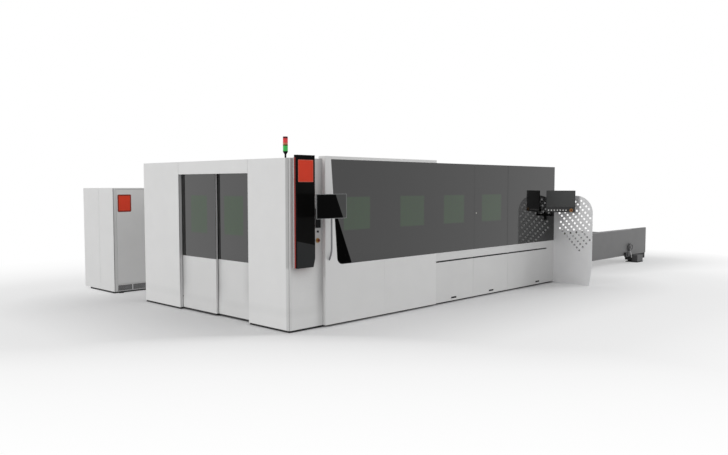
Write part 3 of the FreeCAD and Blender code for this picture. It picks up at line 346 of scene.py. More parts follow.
# Switches, keys and terminals.
yellow_plastic = surface("yellow_plastic", (0.48, 0.25, 0.06), 0.45, vary=0.04)
stop_red = surface("stop_red", (0.18, 0.030, 0.018), 0.35, vary=0.05, gloss=0.3)
black_plastic = surface("black_plastic", (0.012, 0.012, 0.013), 0.5, vary=0.12, depth=0.0001,
                        grain=2500)
arm_black = surface("arm_black", (0.004, 0.004, 0.0045), 0.5, vary=0.1, gloss=0.12)
bezel_grey = surface("bezel_grey", (0.33, 0.335, 0.34), 0.45, gloss=0.2)
key_white = surface("key_white", (0.90, 0.90, 0.88), 0.4)
# painted reflection: grey of what the displays' glass reflects
screen_reflection_grey = surface("screen_reflection_grey", (0.092, 0.094, 0.093), 0.3, vary=0.04, gloss=0.05)

# Foot of the cabinet.
grille_dark = surface("grille_dark", (0.030, 0.030, 0.031), 0.6, vary=0.1)
louvre_grey = surface("louvre_grey", (0.40, 0.40, 0.405), 0.5, vary=0.05)


def screen_material():
    """Dark display behind matt glass."""
    mat, tree, shader, where = node_material("display")
    fine = noise(tree, where, 200.0)
    tone = drift(tree, fine, (0.0030, 0.0030, 0.0030), (0.0040, 0.0040, 0.0040))
    tree.links.new(tone, shader.inputs["Base Color"])
    tree.links.new(remap(tree, fine, target=(0.10, 0.14)), shader.inputs["Roughness"])
    shader.inputs["Specular IOR Level"].default_value = 0.01
    return mat


screen_gloss = screen_material()

LEAF_TONES = (0.91, 0.93)                # the leaves' paint, as parts of white
# painted shade on the leaves' outer faces near their steps, as (reach, tone left in it)
LEAF_NOOK_SHADE = (0.30, 0.45)
LEAF_FRONT = (-1, 0, 0)                  # the leaves' outer faces look this way
SEAL_TOP = 0.035                         # over the floor


def leaf_material():
    """White paint with painted shade beside its steps, over a black rubber seal along the foot of
    a leaf.
    """
    mat, tree, shader, where = node_material("leaf_powder_coat")
    broad = noise(tree, where, PATCH, PATCH_DETAIL)
    fine = noise(tree, where, GRAIN)
    tone = drift(tree, broad, *(tinted(WHITE, part) for part in LEAF_TONES))
    tone = painted_nook_shade(tree, where, tone, *LEAF_NOOK_SHADE, facing=LEAF_FRONT)
    over_seal = math_step(tree, "GREATER_THAN", height_of(tree, where), SEAL_TOP)
    tone = mixed(tree, over_seal, (*BLACK, 1), tone)
    tree.links.new(tone, shader.inputs["Base Color"])
    tree.links.new(remap(tree, fine, target=(0.38, 0.46)), shader.inputs["Roughness"])
    bump(tree, shader, fine, PAINT_RELIEF)
    return mat


leaf_paint = leaf_material()

# Painted shadow: the strip of the corner column between its seam and the short face is darker, as
# in the shadow of the sign column.
CORNER_SHADOW_LOW = 0.60
CORNER_SHADOW_REACH = 0.1
CORNER_SHADOW = [(0.0, 1.0), (0.01, CORNER_SHADOW_LOW), (0.60, CORNER_SHADOW_LOW), (0.72, 1.0)]
SIGN_FOOT = 0.89                         # foot of the sign column over the floor
SIGN_FOOT_BLUR = 0.02
SHADOW_BELOW_SIGN = 0.45                        # share of the painted shadow that is left below it


def paint_corner_shadow(mat):
    """Lay the painted shadow strip over a finish, in full beside the sign column and less below
    it.
    """
    tree = mat.node_tree
    shader = tree.nodes["Principled BSDF"]
    tone = shader.inputs["Base Color"].links[0].from_socket
    place = object_place(tree)
    away = vector_step(tree, "SUBTRACT", place, CORNER)
    away = vector_step(tree, "DOT_PRODUCT", away, (-1, 1, 0))
    strip = falloff(tree, away, CORNER_SHADOW_REACH, CORNER_SHADOW)
    share = falloff(tree, height_of(tree, place), 1.0,
                    [(SIGN_FOOT - SIGN_FOOT_BLUR, SHADOW_BELOW_SIGN), (SIGN_FOOT + SIGN_FOOT_BLUR, 1.0)])
    tone = mixed(tree, share, tone, strip, "MULTIPLY")
    tree.links.new(tone, shader.inputs["Base Color"])


paint_corner_shadow(corner_paint)


# ---- finishes of the CAD nodes ----------------------------------------------------------

BUTTONS = 7

PAINT = {
    corner_paint: ("corner_column_panel",),
    white_paint: ("left_column_panel", "door_header_panel", "roof_panels",
                  "rear_wall_panels", "end_wall_panels"),
    door_paint: ("side_door_frame",),
    leaf_paint: ("leaf_1_frame", "leaf_2_frame"),
    cover_paint: ("lower_covers",),
    cabinet_paint: ("cabinet_housing",),
    panel_paint: ("cabinet_front_panel",),
    frame_paint: ("bed_frame", "end_door"),
    post_paint_shaded: ("housing_frame",),
    kick_paint: ("kick_plates",),
    foot_rubber: ("levelling_feet",),
    pane_gloss: ("front_panes", "side_door_glass", "service_door_pane"),
    leaf_gloss: ("leaf_1_glass", "leaf_2_glass"),
    filter_gloss: ("front_pane_window", "leaf_1_window", "leaf_2_window", "side_door_windows",
                   "service_door_window"),
    stele_gloss: ("stele_front",),
    rail_steel: ("door_rails",),
    handle_steel: ("side_door_handle",),
    red_paint: ("stele_housing",),
    tower_black: ("tower_base", "rotary_switch"),
    lens_green: ("tower_lenses",),
    guard_paint: ("guard_screen",),
    table_paint: ("shuttle_frame",),
    drive_paint: ("shuttle_drive",),
    yellow_plastic: ("switch_collars",),
    arm_black: ("terminal_1_bracket", "terminal_1_arm", "terminal_2_arm", "terminal_2_housing"),
    black_plastic: ("terminal_1_housing", "terminal_2_keypad"),
    screen_gloss: ("terminal_1_screen", "terminal_2_screen"),
    stop_red: ("estop_head_1", "estop_head_2"),
    gantry_paint: ("gantry_bridge", "gantry_carriage"),
    head_metal: ("cutting_head",),
    slat_steel: ("pallet_upper", "pallet_lower"),
    key_white: tuple("push_button_%d" % (i + 1) for i in range(BUTTONS)),
}

# Width of the rounding along the edges in metres, and the nodes that have it.
EDGES = {
    0.0015: ("lower_covers", "terminal_2_keypad"),
    0.002: ("corner_column_panel", "left_column_panel", "door_header_panel", "roof_panels",
            "rear_wall_panels", "end_wall_panels", "leaf_1_frame", "leaf_2_frame",
            "shuttle_frame", "stele_front", "stele_housing", "terminal_1_housing",
            "terminal_2_housing"),
    0.003: ("side_door_frame", "cabinet_front_panel", "shuttle_drive"),
    0.004: ("cabinet_housing", "gantry_bridge", "gantry_carriage", "bed_frame",
            "housing_frame"),
}
SHARP_ANGLE = 40                         # degrees; blunter edges aren't rounded
WELD_REACH = 0.00005


def dress(obj, material):
    """Give a CAD node its finish."""
    obj.data.materials.clear()
    obj.data.materials.append(material)


def soften(obj, width):
    """Weld the mesh and round its edges a little, so that they catch the light."""
    weld = obj.modifiers.new("weld", "WELD")
    weld.merge_threshold = WELD_REACH
    bevel = obj.modifiers.new("edge", "BEVEL")
    bevel.width = width
    bevel.segments = 2
    bevel.limit_method = "ANGLE"
    bevel.angle_limit = radians(SHARP_ANGLE)
    bevel.harden_normals = True


for material, names in PAINT.items():
    for name in names:
        dress(nodes[name], material)
for width, names in EDGES.items():
    for name in names:
        soften(nodes[name], width)


# ---- outlines ---------------------------------------------------------------------------

def arc(centre, radius, start, end, steps):
    """Points (a, b) of an arc in a plane, angles in degrees."""
    turns = [radians(start + (end - start) * i / steps) for i in range(steps + 1)]
    return [(centre[0] + radius * cos(t), centre[1] + radius * sin(t)) for t in turns]


def rectangle(a_range, b_range, inset=0):
    """Corners of a rectangle, an inset inside its ranges, from the lowest one round."""
    a0, a1 = a_range[0] + inset, a_range[1] - inset
    b0, b1 = b_range[0] + inset, b_range[1] - inset
    return [(a0, b0), (a1, b0), (a1, b1), (a0, b1)]


def rounded_rectangle(a_range, b_range, radius, steps=5):
    """Outline of a rectangle with round corners."""
    left_foot, right_foot, right_top, left_top = rectangle(a_range, b_range, radius)
    corners = ((right_foot, -90), (right_top, 0), (left_top, 90), (left_foot, 180))
    return [point for centre, start in corners
            for point in arc(centre, radius, start, start + 90, steps)]


def facing_operator(outline, y):
    """Points of an outline of (x, z) in the plane at a depth y."""
    return [mm(x, y, z) for x, z in outline]


# ---- solids -----------------------------------------------------------------------------

def prism(bm, outline, run):
    """Solid over a flat outline, drawn out along a vector."""
    low = [bm.verts.new(point) for point in outline]
    high = [bm.verts.new(point + run) for point in outline]
    bm.faces.new(low)
    bm.faces.new(high)
    for i in range(len(low)):
        j = (i + 1) % len(low)
        bm.faces.new((low[i], low[j], high[j], high[i]))


def block(bm, low, high):
    """Box between two corners of the drawing."""
    outline = [mm(x, y, low[2]) for x, y in rectangle((low[0], high[0]), (low[1], high[1]))]
    prism(bm, outline, length(UP, high[2] - low[2]))


def ring(bm, centre, side, other, radius, steps):
    """Vertices round a centre, in the plane of two directions."""
    turns = [2 * pi * i / steps for i in range(steps)]
    return [bm.verts.new(centre + side * (radius * cos(t)) + other * (radius * sin(t)))
            for t in turns]


def skin(bm, rings, steps):
    """Faces from each ring to the next and over the ends; a ring of one point is a tip."""
    for a, b in zip(rings, rings[1:]):
        for i in range(steps):
            j = (i + 1) % steps
            corners = [a[i % len(a)], a[j % len(a)], b[j % len(b)], b[i % len(b)]]
            bm.faces.new(list(dict.fromkeys(corners)))
    for end in (rings[0], rings[-1]):
        if len(end) > 1:
            bm.faces.new(end)


def lathe(bm, centre, axis, profile, steps=32):
    """Turned solid; profile is (distance along the axis, radius), in metres."""
    axis = axis.normalized()
    side = axis.orthogonal().normalized()
    other = axis.cross(side)
    rings = [ring(bm, centre + axis * along, side, other, radius, steps if radius else 1)
             for along, radius in profile]
    skin(bm, rings, steps)


def sweep(bm, path, radius, steps=16):
    """Round bar along a path that stays at one X."""
    rings = []
    for i, point in enumerate(path):
        ahead = path[min(i + 1, len(path) - 1)]
        behind = path[max(i - 1, 0)]
        run = (ahead - behind).normalized()
        side = run.cross(ALONG).normalized()
        rings.append(ring(bm, point, side, run.cross(side), radius, steps))
    skin(bm, rings, steps)


def punched(bm, outline, holes, run):
    """Sheet with holes: flat outline and hole outlines, drawn out along a vector."""
    edges = []
    for loop in [outline] + holes:
        points = [bm.verts.new(point) for point in loop]
        edges += [bm.edges.new(pair) for pair in zip(points, points[1:] + points[:1])]
    filled = bmesh.ops.triangle_fill(bm, edges=edges, use_beauty=True)
    faces = [item for item in filled["geom"] if isinstance(item, bmesh.types.BMFace)]
    grown = bmesh.ops.extrude_face_region(bm, geom=faces, use_keep_orig=True)
    moved = [item for item in grown["geom"] if isinstance(item, bmesh.types.BMVert)]
    bmesh.ops.translate(bm, verts=moved, vec=run)


# ---- pieces -----------------------------------------------------------------------------

def add_piece(name, bm, material, slot, body="machine", stands_for=(), smooth=False, edge=0.0):
    """Keep a bmesh as a piece that rides on a body and takes a finish."""
    bmesh.ops.recalc_face_normals(bm, faces=bm.faces)
    mesh = bpy.data.meshes.new(name)
    bm.to_mesh(mesh)
    bm.free()
    if smooth:
        mesh.shade_smooth()
    mesh.materials.append(material)
    obj = bpy.data.objects.new(name, mesh)
    bpy.context.scene.collection.objects.link(obj)
    if edge:
        soften(obj, edge)
    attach(obj, body)
    for node in stands_for:
        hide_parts(node)


def single_piece(name, material, slot, shape, *sizes, **rest):
    """Piece of one solid: the sizes go to the shape's function, the rest to add_piece."""
    bm = bmesh.new()
    shape(bm, *sizes)
    add_piece(name, bm, material, slot, **rest)


# ---- guard screen -----------------------------------------------------------------------

GUARD_X = HOUSE_X[1]
GUARD_Y = (-886, -36)                    # outer edge, edge at the housing
GUARD_FIXED = 80                         # its lower part runs on to here along the end wall
GUARD_TOP = 1810
GUARD_T = 4
GUARD_R = 350                            # round upper corners
GUARD_R_STEPS = 14
GUARD_CUT = (50, 350)                    # slanted foot: along the floor, upwards
HOLE_R = 22
HOLE_SIDES = 24
HOLE_STEPS = (54.3, 73.7)                # rise of one step towards the housing, and away from it
HOLE_COUNT = (20, 15)                    # steps tried each way
HOLE_TIP = (-610, 705)                   # lowest hole, as (y, z)
HOLE_FIELD = (-846, -150)
HOLE_TOP = 1750


def guard_hole_centres():
    """Diagonal lattice inside a field whose foot is a V and whose top follows the corners."""
    towards, away = HOLE_STEPS
    found = []
    for i in range(HOLE_COUNT[0]):
        for j in range(HOLE_COUNT[1]):
            y = HOLE_TIP[0] + i * towards - j * away
            z = HOLE_TIP[1] + i * towards + j * away
            if z > HOLE_TOP or not HOLE_FIELD[0] <= y <= HOLE_FIELD[1]:
                continue
            above = z - (GUARD_TOP - GUARD_R)
            past = max(GUARD_Y[0] + GUARD_R - y, y - (GUARD_Y[1] - GUARD_R), 0)
            if above <= 0 or past == 0 or (above ** 2 + past ** 2) ** 0.5 < GUARD_R - 2 * HOLE_R:
                found.append((y, z))
    return found


def guard_hole(centre):
    turn = 360 / HOLE_SIDES
    return [mm(GUARD_X, y, z) for y, z in arc(centre, HOLE_R, 0, 360 - turn, HOLE_SIDES - 1)]


def guard_screen():
    outer, inner = GUARD_Y
    shoulder = GUARD_TOP - GUARD_R
    outline = [(inner, 0), (outer + GUARD_CUT[0], 0), (outer, GUARD_CUT[1])]
    outline += arc((outer + GUARD_R, shoulder), GUARD_R, 180, 90, GUARD_R_STEPS)
    outline += arc((inner - GUARD_R, shoulder), GUARD_R, 90, 0, GUARD_R_STEPS)
    holes = [guard_hole(centre) for centre in guard_hole_centres()]
    bm = bmesh.new()
    punched(bm, [mm(GUARD_X, y, z) for y, z in outline], holes, length(ALONG, GUARD_T))
    block(bm, (GUARD_X, inner, 0), (GUARD_X + GUARD_T, GUARD_FIXED, shoulder))
    add_piece("guard_sheet", bm, guard_paint, "guard_grey", stands_for=("guard_screen",))


# ---- signal tower -----------------------------------------------------------------------

TOWER_AT = (156, 244)
# Profiles, in metres over the roof.
TOWER_R = 0.035
CHAMFER = (0.001, 0.002)                 # along the tower, off its radius
RING_R = 0.0345
STAND_TOP = 0.099
GREEN_TOP = 0.174
RING_TOP = 0.190
AMBER_TOP = 0.216
RED_TOP = 0.277
CAP_TOP = 0.302
STAND = [(0, 0.022), (0.005, 0.022), (0.007, 0.013), (0.055, 0.013), (0.075, 0.025),
         (0.087, 0.034), (STAND_TOP, 0.034)]
RING = [(GREEN_TOP, RING_R), (RING_TOP, RING_R)]
CAP = [(RED_TOP, 0.031), (RED_TOP + 0.001, 0.034), (CAP_TOP - 0.005, 0.034),
       (CAP_TOP - 0.001, 0.030), (CAP_TOP, 0)]


def module(low, high):
    """Profile of a lamp module with small chamfers."""
    along, off = CHAMFER
    return [(low, TOWER_R - off), (low + along, TOWER_R), (high - along, TOWER_R),
            (high, TOWER_R - off)]


def signal_tower():
    foot = mm(*TOWER_AT, ROOF_TOP)
    single_piece("tower_stand", tower_black, "tower_black", lathe, foot, UP, STAND,
                 stands_for=("tower_base",), smooth=True)
    single_piece("tower_light_green", lens_green, "tower_lens", lathe, foot, UP,
                 module(STAND_TOP, GREEN_TOP), stands_for=("tower_lenses",))
    for name, material, profile in (
            ("tower_ring", ring_olive, RING),
            ("tower_light_amber", lens_amber, module(RING_TOP, AMBER_TOP)),
            ("tower_cap", cap_maroon, CAP),
            ("tower_light_red", lens_red, module(AMBER_TOP, RED_TOP))):
        single_piece(name, material, "tower_lens", lathe, foot, UP, profile)


# ---- sign column ------------------------------------------------------------------------

STELE_FACE = -80                         # front of the glossy panel
STELE_LEFT = 80
STELE_SIDE_Z = (891, 2405)
SIGN_X = (104, 378)
SIGN_Z = (2072, 2375)
SIGN_T = 2
SIGN_RIM = 5                             # pale line round the plate
SIGN_RIM_T = 0.5
# Painted reflection: outline of a grey film on the lower part of the column's glass, for the floor
# it reflects.
STELE_REFLECTION_SHAPE = [(80, 890), (380, 890), (410, 1010), (410, 1195), (80, 1265)]
STELE_REFLECTION_T = 0.6
SIDE_STRIP_T = 1
SIDE_STRIP_Y = (STELE_FACE + 8, STELE_FACE + 27)
SPACER_Y = (-24, -1)                     # between the column and the housing


def sign_plate():
    """Bare red plate with a pale line round it."""
    front = STELE_FACE - SIGN_T
    single_piece("sign_plate", plate_red, "stele_red", block,
                 (SIGN_X[0], front, SIGN_Z[0]), (SIGN_X[1], STELE_FACE, SIGN_Z[1]), edge=0.0008)
    outline = facing_operator(rectangle(SIGN_X, SIGN_Z), front)
    hole = facing_operator(rectangle(SIGN_X, SIGN_Z, SIGN_RIM), front)
    single_piece("sign_plate_edge", plate_pale, "stele_red", punched, outline, [hole],
                 length(OUTWARD, SIGN_RIM_T))


def side_strip(name, material, y_range):
    """Thin upright strip on the left side of the column."""
    low = (STELE_LEFT - SIDE_STRIP_T, y_range[0], STELE_SIDE_Z[0])
    high = (STELE_LEFT, y_range[1], STELE_SIDE_Z[1])
    single_piece(name, material, "stele_black", block, low, high)


def sign_column():
    sign_plate()
    # painted reflection of the floor on the lower part of the column's glass
    single_piece("sign_reflection_film", stele_reflection_grey, "stele_black", prism,
                 facing_operator(STELE_REFLECTION_SHAPE, STELE_FACE - STELE_REFLECTION_T), length(INWARD, STELE_REFLECTION_T))
    side_strip("sign_edge", stele_gloss, SIDE_STRIP_Y)
    # painted shade: grey strip in the gap behind the column
    side_strip("sign_spacer", spacer_shade_grey, SPACER_Y)


# ---- side door --------------------------------------------------------------------------

DOOR_FACE = -59
# painted reflection: outline of the black wedge on the side door's glass
REFLECTION_WEDGE_SHAPE = [(797, 1730), (857, 980), (864, 945), (890, 912), (925, 893), (961, 886),
               (1155, 886)]
REFLECTION_WEDGE_T = 0.5
TOP_END = ((623, -8, 2402), (683, 76, 2440))
SEAL = ((620.2, -7, 34), (622.6, 2, 2396))
HANDLE_X = 700
HANDLE_Z = (967, 1870)
HANDLE_OFF = 50                          # from the door's face to the bar
HANDLE_R = 12
HANDLE_BEND = 183                        # height of the bend at either end
BEND_TURN = 31                           # degrees; takes the bar's ends just into the door
BEND_STEPS = 8


def handle_path():
    """Bow that is straight in the middle and bends to the door at both ends."""
    radius = (HANDLE_BEND ** 2 + HANDLE_OFF ** 2) / (2 * HANDLE_OFF)
    path = []
    for z, way in ((HANDLE_Z[0] + HANDLE_BEND, -1), (HANDLE_Z[1] - HANDLE_BEND, 1)):
        bend = []
        for i in range(BEND_STEPS + 1):
            turn = radians(BEND_TURN * i / BEND_STEPS)
            y = DOOR_FACE - HANDLE_OFF + radius * (1 - cos(turn))
            bend.append(mm(HANDLE_X, y, z + way * radius * sin(turn)))
        path += bend[::-1] if way < 0 else bend
    return path


def side_door_trim():
    # painted reflection: a black wedge on the door's glass
    single_piece("side_door_reflection_wedge", reflection_wedge_black, "pane_dark", prism,
                 facing_operator(REFLECTION_WEDGE_SHAPE, DOOR_FACE - REFLECTION_WEDGE_T), length(INWARD, REFLECTION_WEDGE_T),
                 body="side_door")
    single_piece("side_door_top_end", door_paint, "housing_white", block, *TOP_END,
                 body="side_door", edge=0.003)
    single_piece("side_door_seal", door_paint, "housing_white", block, *SEAL)
    single_piece("side_door_bar", handle_steel, "handle_steel", sweep, handle_path(),
                 HANDLE_R / 1000, body="side_door", stands_for=("side_door_handle",), smooth=True)


# ---- switches ---------------------------------------------------------------------------

ESTOP_AT = (530, 1250)
ESTOP_FRONT = -40                        # of the red head, from the face that carries it
COLLAR_1 = (33, 12)                      # radius and thickness
COLLAR_2 = (33.5, 12.5)
SWITCH_AT = (530, 1375)
DOME = [(0.0, 0.0), (0.001, 0.008), (0.003, 0.014), (0.007, 0.0185), (0.012, 0.020),
        (0.018, 0.0195), (0.0185, 0.008), (0.033, 0.0068)]
KNOB = [(0, 0.0125), (0.001, 0.014), (0.012, 0.014)]
KNOB_FACE = -13
GRIP = (3, 12)                           # half width and half height of the knob's bar
GRIP_Y = (-24, -12)


def stop_button(name, front, inward, node, body):
    """Mushroom head on its stem, drawn from its front inward."""
    single_piece(name, stop_red, "estop_red", lathe, front, inward, DOME, body=body,
                 stands_for=(node,), smooth=True)


def collar(radius, thick):
    """Profile of an emergency stop's collar, with a recess round the stem."""
    return [(0, 0.0095), (0, 0.031), (0.001, radius / 1000), (thick / 1000, radius / 1000)]


def wall_switches():
    x, z = ESTOP_AT
    stop_button("estop_dome_1", mm(x, ESTOP_FRONT, z), INWARD, "estop_head_1", "estop_1")
    single_piece("estop_plate", yellow_plastic, "collar_yellow", lathe,
                 mm(x, -COLLAR_1[1], z), INWARD, collar(*COLLAR_1), stands_for=("switch_collars",))

    x, z = SWITCH_AT
    half, tall = GRIP
    bm = bmesh.new()
    lathe(bm, mm(x, KNOB_FACE, z), INWARD, KNOB)
    block(bm, (x - half, GRIP_Y[0], z - tall), (x + half, GRIP_Y[1], z + tall))
    add_piece("switch_knob", bm, black_plastic, "switch_black", body="switch",
              stands_for=("rotary_switch",))


# ---- terminals --------------------------------------------------------------------------

SCREEN = ((0, 563), (0, 337))            # width and height from the screen's lower left corner
TERMINAL_1 = (167, -378, 1572)           # places of those corners
TERMINAL_2 = (6679, -116, 1580)
TERMINAL_2_TURN = -57.3                  # degrees about the vertical
RIM_T = 1.5
RIM_1 = 5
RIM_2 = 10
FILM_T = 0.4
# painted reflection: the lighter part of terminal 1's screen, whose edge runs aslant
REFLECTION_1 = [(356, 330), (500, 8), (556, 8), (556, 330)]
KEYS_STOP = (487, -58)                   # emergency stop of the key strip under terminal 2


def on_terminal_1(x, y, z):
    return mm(TERMINAL_1[0] + x, TERMINAL_1[1] + y, TERMINAL_1[2] + z)


def on_terminal_2(x, y, z):
    turn = Matrix.Rotation(radians(TERMINAL_2_TURN), 3, "Z")
    return mm(*TERMINAL_2) + turn @ Vector((x, y, z)) / 1000


def screen_rim(name, place, width, material, body):
    """Flat frame round a screen, in front of its plane."""
    outline = [place(x, 0, z) for x, z in rectangle(*SCREEN)]
    hole = [place(x, 0, z) for x, z in rectangle(*SCREEN, width)]
    lift = place(0, -RIM_T, 0) - place(0, 0, 0)
    single_piece(name, material, "case_black", punched, outline, [hole], lift, body=body)


def screen_reflection_film(name, place, outline, back, body):
    """Painted reflection on a display: a lighter film on the screen."""
    single_piece(name, screen_reflection_grey, "screen_black", prism,
                 [place(x, -FILM_T, z) for x, z in outline], back, body=body)


def terminals():
    screen_rim("terminal_1_rim", on_terminal_1, RIM_1, bezel_grey, "terminal_1")
    screen_reflection_film("terminal_1_reflection", on_terminal_1, REFLECTION_1, length(INWARD, FILM_T), "terminal_1")

    inward = on_terminal_2(0, 1, 0) - on_terminal_2(0, 0, 0)
    screen_rim("terminal_2_rim", on_terminal_2, RIM_2, black_plastic, "terminal_2")
    screen_reflection_film("terminal_2_reflection", on_terminal_2, rectangle(*SCREEN, RIM_2), inward * FILM_T,
                 "terminal_2")
    x, z = KEYS_STOP
    stop_button("estop_dome_2", on_terminal_2(x, ESTOP_FRONT, z), inward, "estop_head_2",
                "estop_2")
    single_piece("estop_plate_2", yellow_plastic, "collar_yellow", lathe,
                 on_terminal_2(x, -COLLAR_2[1], z), inward, collar(*COLLAR_2), body="terminal_2")


# ---- pallets ----------------------------------------------------------------------------

# Each pallet's node: its body, its near end along the machine, the height of its rails.
PALLETS = {
    "pallet_upper": ("upper_pallet", 1150, 640),
    "pallet_lower": ("lower_pallet", 7240, 400),
}
PALLET_Y = (480, 3411)
PALLET_L = 5600
PALLET_BAR = 60                          # width of the frame's bars
PALLET_H = 120
PALLET_CLEAR = 2                         # from the rail to the frame
ROLLERS = 6                              # on each long side
ROLLER_IN = 120                          # from the frame's ends to the outer rollers
ROLLER_UP = 30.5                         # from the rail to the axis
ROLLER = [(0, 0.030), (0.014, 0.030)]
ROLLER_STEPS = 24
SLAT_Z = (20, 220)                       # over the frame's foot
SLAT_T = 3
SLAT_PITCH = 100
TOOTH_PITCH = 60
TOOTH_H = 30


def pallet_frame(node, body, x0, rail_z):
    """Frame of four bars with rollers along both sides."""
    y0, y1 = PALLET_Y
    x1 = x0 + PALLET_L
    foot = rail_z + PALLET_CLEAR
    top = foot + PALLET_H
    bm = bmesh.new()
    block(bm, (x0, y0, foot), (x1, y0 + PALLET_BAR, top))
    block(bm, (x0, y1 - PALLET_BAR, foot), (x1, y1, top))
    block(bm, (x0, y0 + PALLET_BAR, foot), (x0 + PALLET_BAR, y1 - PALLET_BAR, top))
    block(bm, (x1 - PALLET_BAR, y0 + PALLET_BAR, foot), (x1, y1 - PALLET_BAR, top))
    for i in range(ROLLERS):
        x = x0 + ROLLER_IN + (PALLET_L - 2 * ROLLER_IN) * i / (ROLLERS - 1)
        for y, way in ((y0, OUTWARD), (y1, INWARD)):
            lathe(bm, mm(x, y, rail_z + ROLLER_UP), way, ROLLER, ROLLER_STEPS)
    add_piece(node + "_frame", bm, pallet_paint, "pallet_steel", body=body, stands_for=(node,),
              edge=0.002)


def slat_outline(low, high, foot):
    """Toothed slat between two depths, as (y, z)."""
    teeth = int((high - low) / TOOTH_PITCH)
    pitch = (high - low) / teeth
    tip = foot + SLAT_Z[1]
    outline = [(low, foot + SLAT_Z[0]), (low, tip - TOOTH_H)]
    for i in range(teeth):
        outline += [(low + pitch * (i + 0.5), tip), (low + pitch * (i + 1), tip - TOOTH_H)]
    return outline + [(high, foot + SLAT_Z[0])]


def pallet_slats(node, body, x0, rail_z):
    low, high = PALLET_Y[0] + PALLET_BAR, PALLET_Y[1] - PALLET_BAR
    outline = slat_outline(low, high, rail_z + PALLET_CLEAR)
    bm = bmesh.new()
    x = x0 + PALLET_BAR + SLAT_PITCH / 2
    while x < x0 + PALLET_L - PALLET_BAR:
        prism(bm, [mm(x, y, z) for y, z in outline], length(ALONG, SLAT_T))
        x += SLAT_PITCH
    add_piece(node + "_slats", bm, slat_steel, "pallet_steel", body=body)


def pallets():
    for node, place in PALLETS.items():
        pallet_frame(node, *place)
        pallet_slats(node, *place)


# ---- cabinet ----------------------------------------------------------------------------

CABINET_FACE = 5066
PLATE_X = (124, 394)                     # dark edge of the red plate
PLATE_Z = (1526, 1851)
PLATE_R = 22
PLATE_T = 3
BRIGHT_X = (146, 372)                    # bright face on it
BRIGHT_Z = (1550, 1827)
BRIGHT_R = 14
BRIGHT_T = 1
GRILLE_FACE = 5065.2
GRILLE = ((105, GRILLE_FACE, 48), (1170, CABINET_FACE, 148))
# grey strip over the seam's gap: painted shade
CABINET_SEAM_SHADE = ((32, 5065.4, 36), (46, CABINET_FACE, 1968))
# dark block under the cabinet's foot: painted shadow
FOOT_SHADOW_BLOCK = ((44, 5110, 3), (1186, 6080, 33))
DIVIDER = ((384, 5062, 46), (404, GRILLE_FACE, 150))
LOUVRES = 5
LOUVRE_X = ((109, 383), (402, 1166))     # left and right of the divider
LOUVRE_Y = (5063, GRILLE_FACE)
LOUVRE_FOOT = 52
LOUVRE_PITCH = 19
LOUVRE_H = 9
FEET_X = (185, 1075)
FEET_Y = 5108
CABINET_FOOT = [(0, 0.050), (0.014, 0.050), (0.020, 0.022), (0.0352, 0.022)]


def cabinet_plates():
    """Red plate on the service panel: dark edge and bright face."""
    edge = rounded_rectangle(PLATE_X, PLATE_Z, PLATE_R)
    single_piece("cabinet_plate_edge", plate_edge, "cabinet_white", prism,
                 facing_operator(edge, CABINET_FACE), length(OUTWARD, PLATE_T))
    bright = rounded_rectangle(BRIGHT_X, BRIGHT_Z, BRIGHT_R)
    single_piece("cabinet_plate", plate_bright, "cabinet_white", prism,
                 facing_operator(bright, CABINET_FACE - PLATE_T), length(OUTWARD, BRIGHT_T),
                 edge=0.0004)


def cabinet_louvres():
    bm = bmesh.new()
    for x0, x1 in LOUVRE_X:
        for i in range(LOUVRES):
            z = LOUVRE_FOOT + i * LOUVRE_PITCH
            block(bm, (x0, LOUVRE_Y[0], z), (x1, LOUVRE_Y[1], z + LOUVRE_H))
    add_piece("cabinet_louvres", bm, louvre_grey, "cabinet_white")


def cabinet_feet():
    bm = bmesh.new()
    for x in FEET_X:
        lathe(bm, mm(x, FEET_Y, 0), UP, CABINET_FOOT)
    add_piece("cabinet_feet", bm, foot_rubber, "kick_black", edge=0.001)


def cabinet_trim():
    """Grille with louvres, a grey strip of painted shade on the seam, a dark block of painted
    shadow under the foot, and feet.
    """
    single_piece("cabinet_grille", grille_dark, "cabinet_white", block, *GRILLE)
    single_piece("cabinet_seam_shade", strap_and_seam_shade_grey, "cabinet_white", block, *CABINET_SEAM_SHADE)
    single_piece("cabinet_foot_shadow", foot_rubber, "kick_black", block, *FOOT_SHADOW_BLOCK)
    cabinet_louvres()
    single_piece("cabinet_divider", panel_paint, "cabinet_white", block, *DIVIDER)
    cabinet_feet()


# ---- service door, covers and corner column ---------------------------------------------

LOCK_AT = (4343, -40, 1528)
LOCK = [(0, 0.010), (0.001, 0.012), (0.004, 0.012)]
BAND_FACE = -36                          # outer face of the covers
GROOVE_SHADOW = ((3166, BAND_FACE - 0.8, 720), (6850, BAND_FACE, 738))
SLOT_X = (3695, 4850, 6510)              # middles of the foot slots
SLOT_HALF = 72
SLOT_Y = (BAND_FACE + 3, BAND_FACE + 5)
SLOT_Z = (67, 93)
CORNER_R = 45
SEAM_HALF = 1.0
SEAM_PROUD = 0.4
SEAM_FOOT = 34
SEAM_H = 2362


def service_door_lock():
    single_piece("service_door_lock", bolt_zinc, "rail_steel", lathe, mm(*LOCK_AT), INWARD, LOCK,
                 body="service_door")


def cover_slots():
    """Black strip of painted shadow along the groove over the covers, and the dark slots along
    their foot.
    """
    bm = bmesh.new()
    block(bm, *GROOVE_SHADOW)
    for x in SLOT_X:
        block(bm, (x - SLOT_HALF, SLOT_Y[0], SLOT_Z[0]), (x + SLOT_HALF, SLOT_Y[1], SLOT_Z[1]))
    add_piece("cover_slots", bm, seam_and_shadow_black, "kick_black")


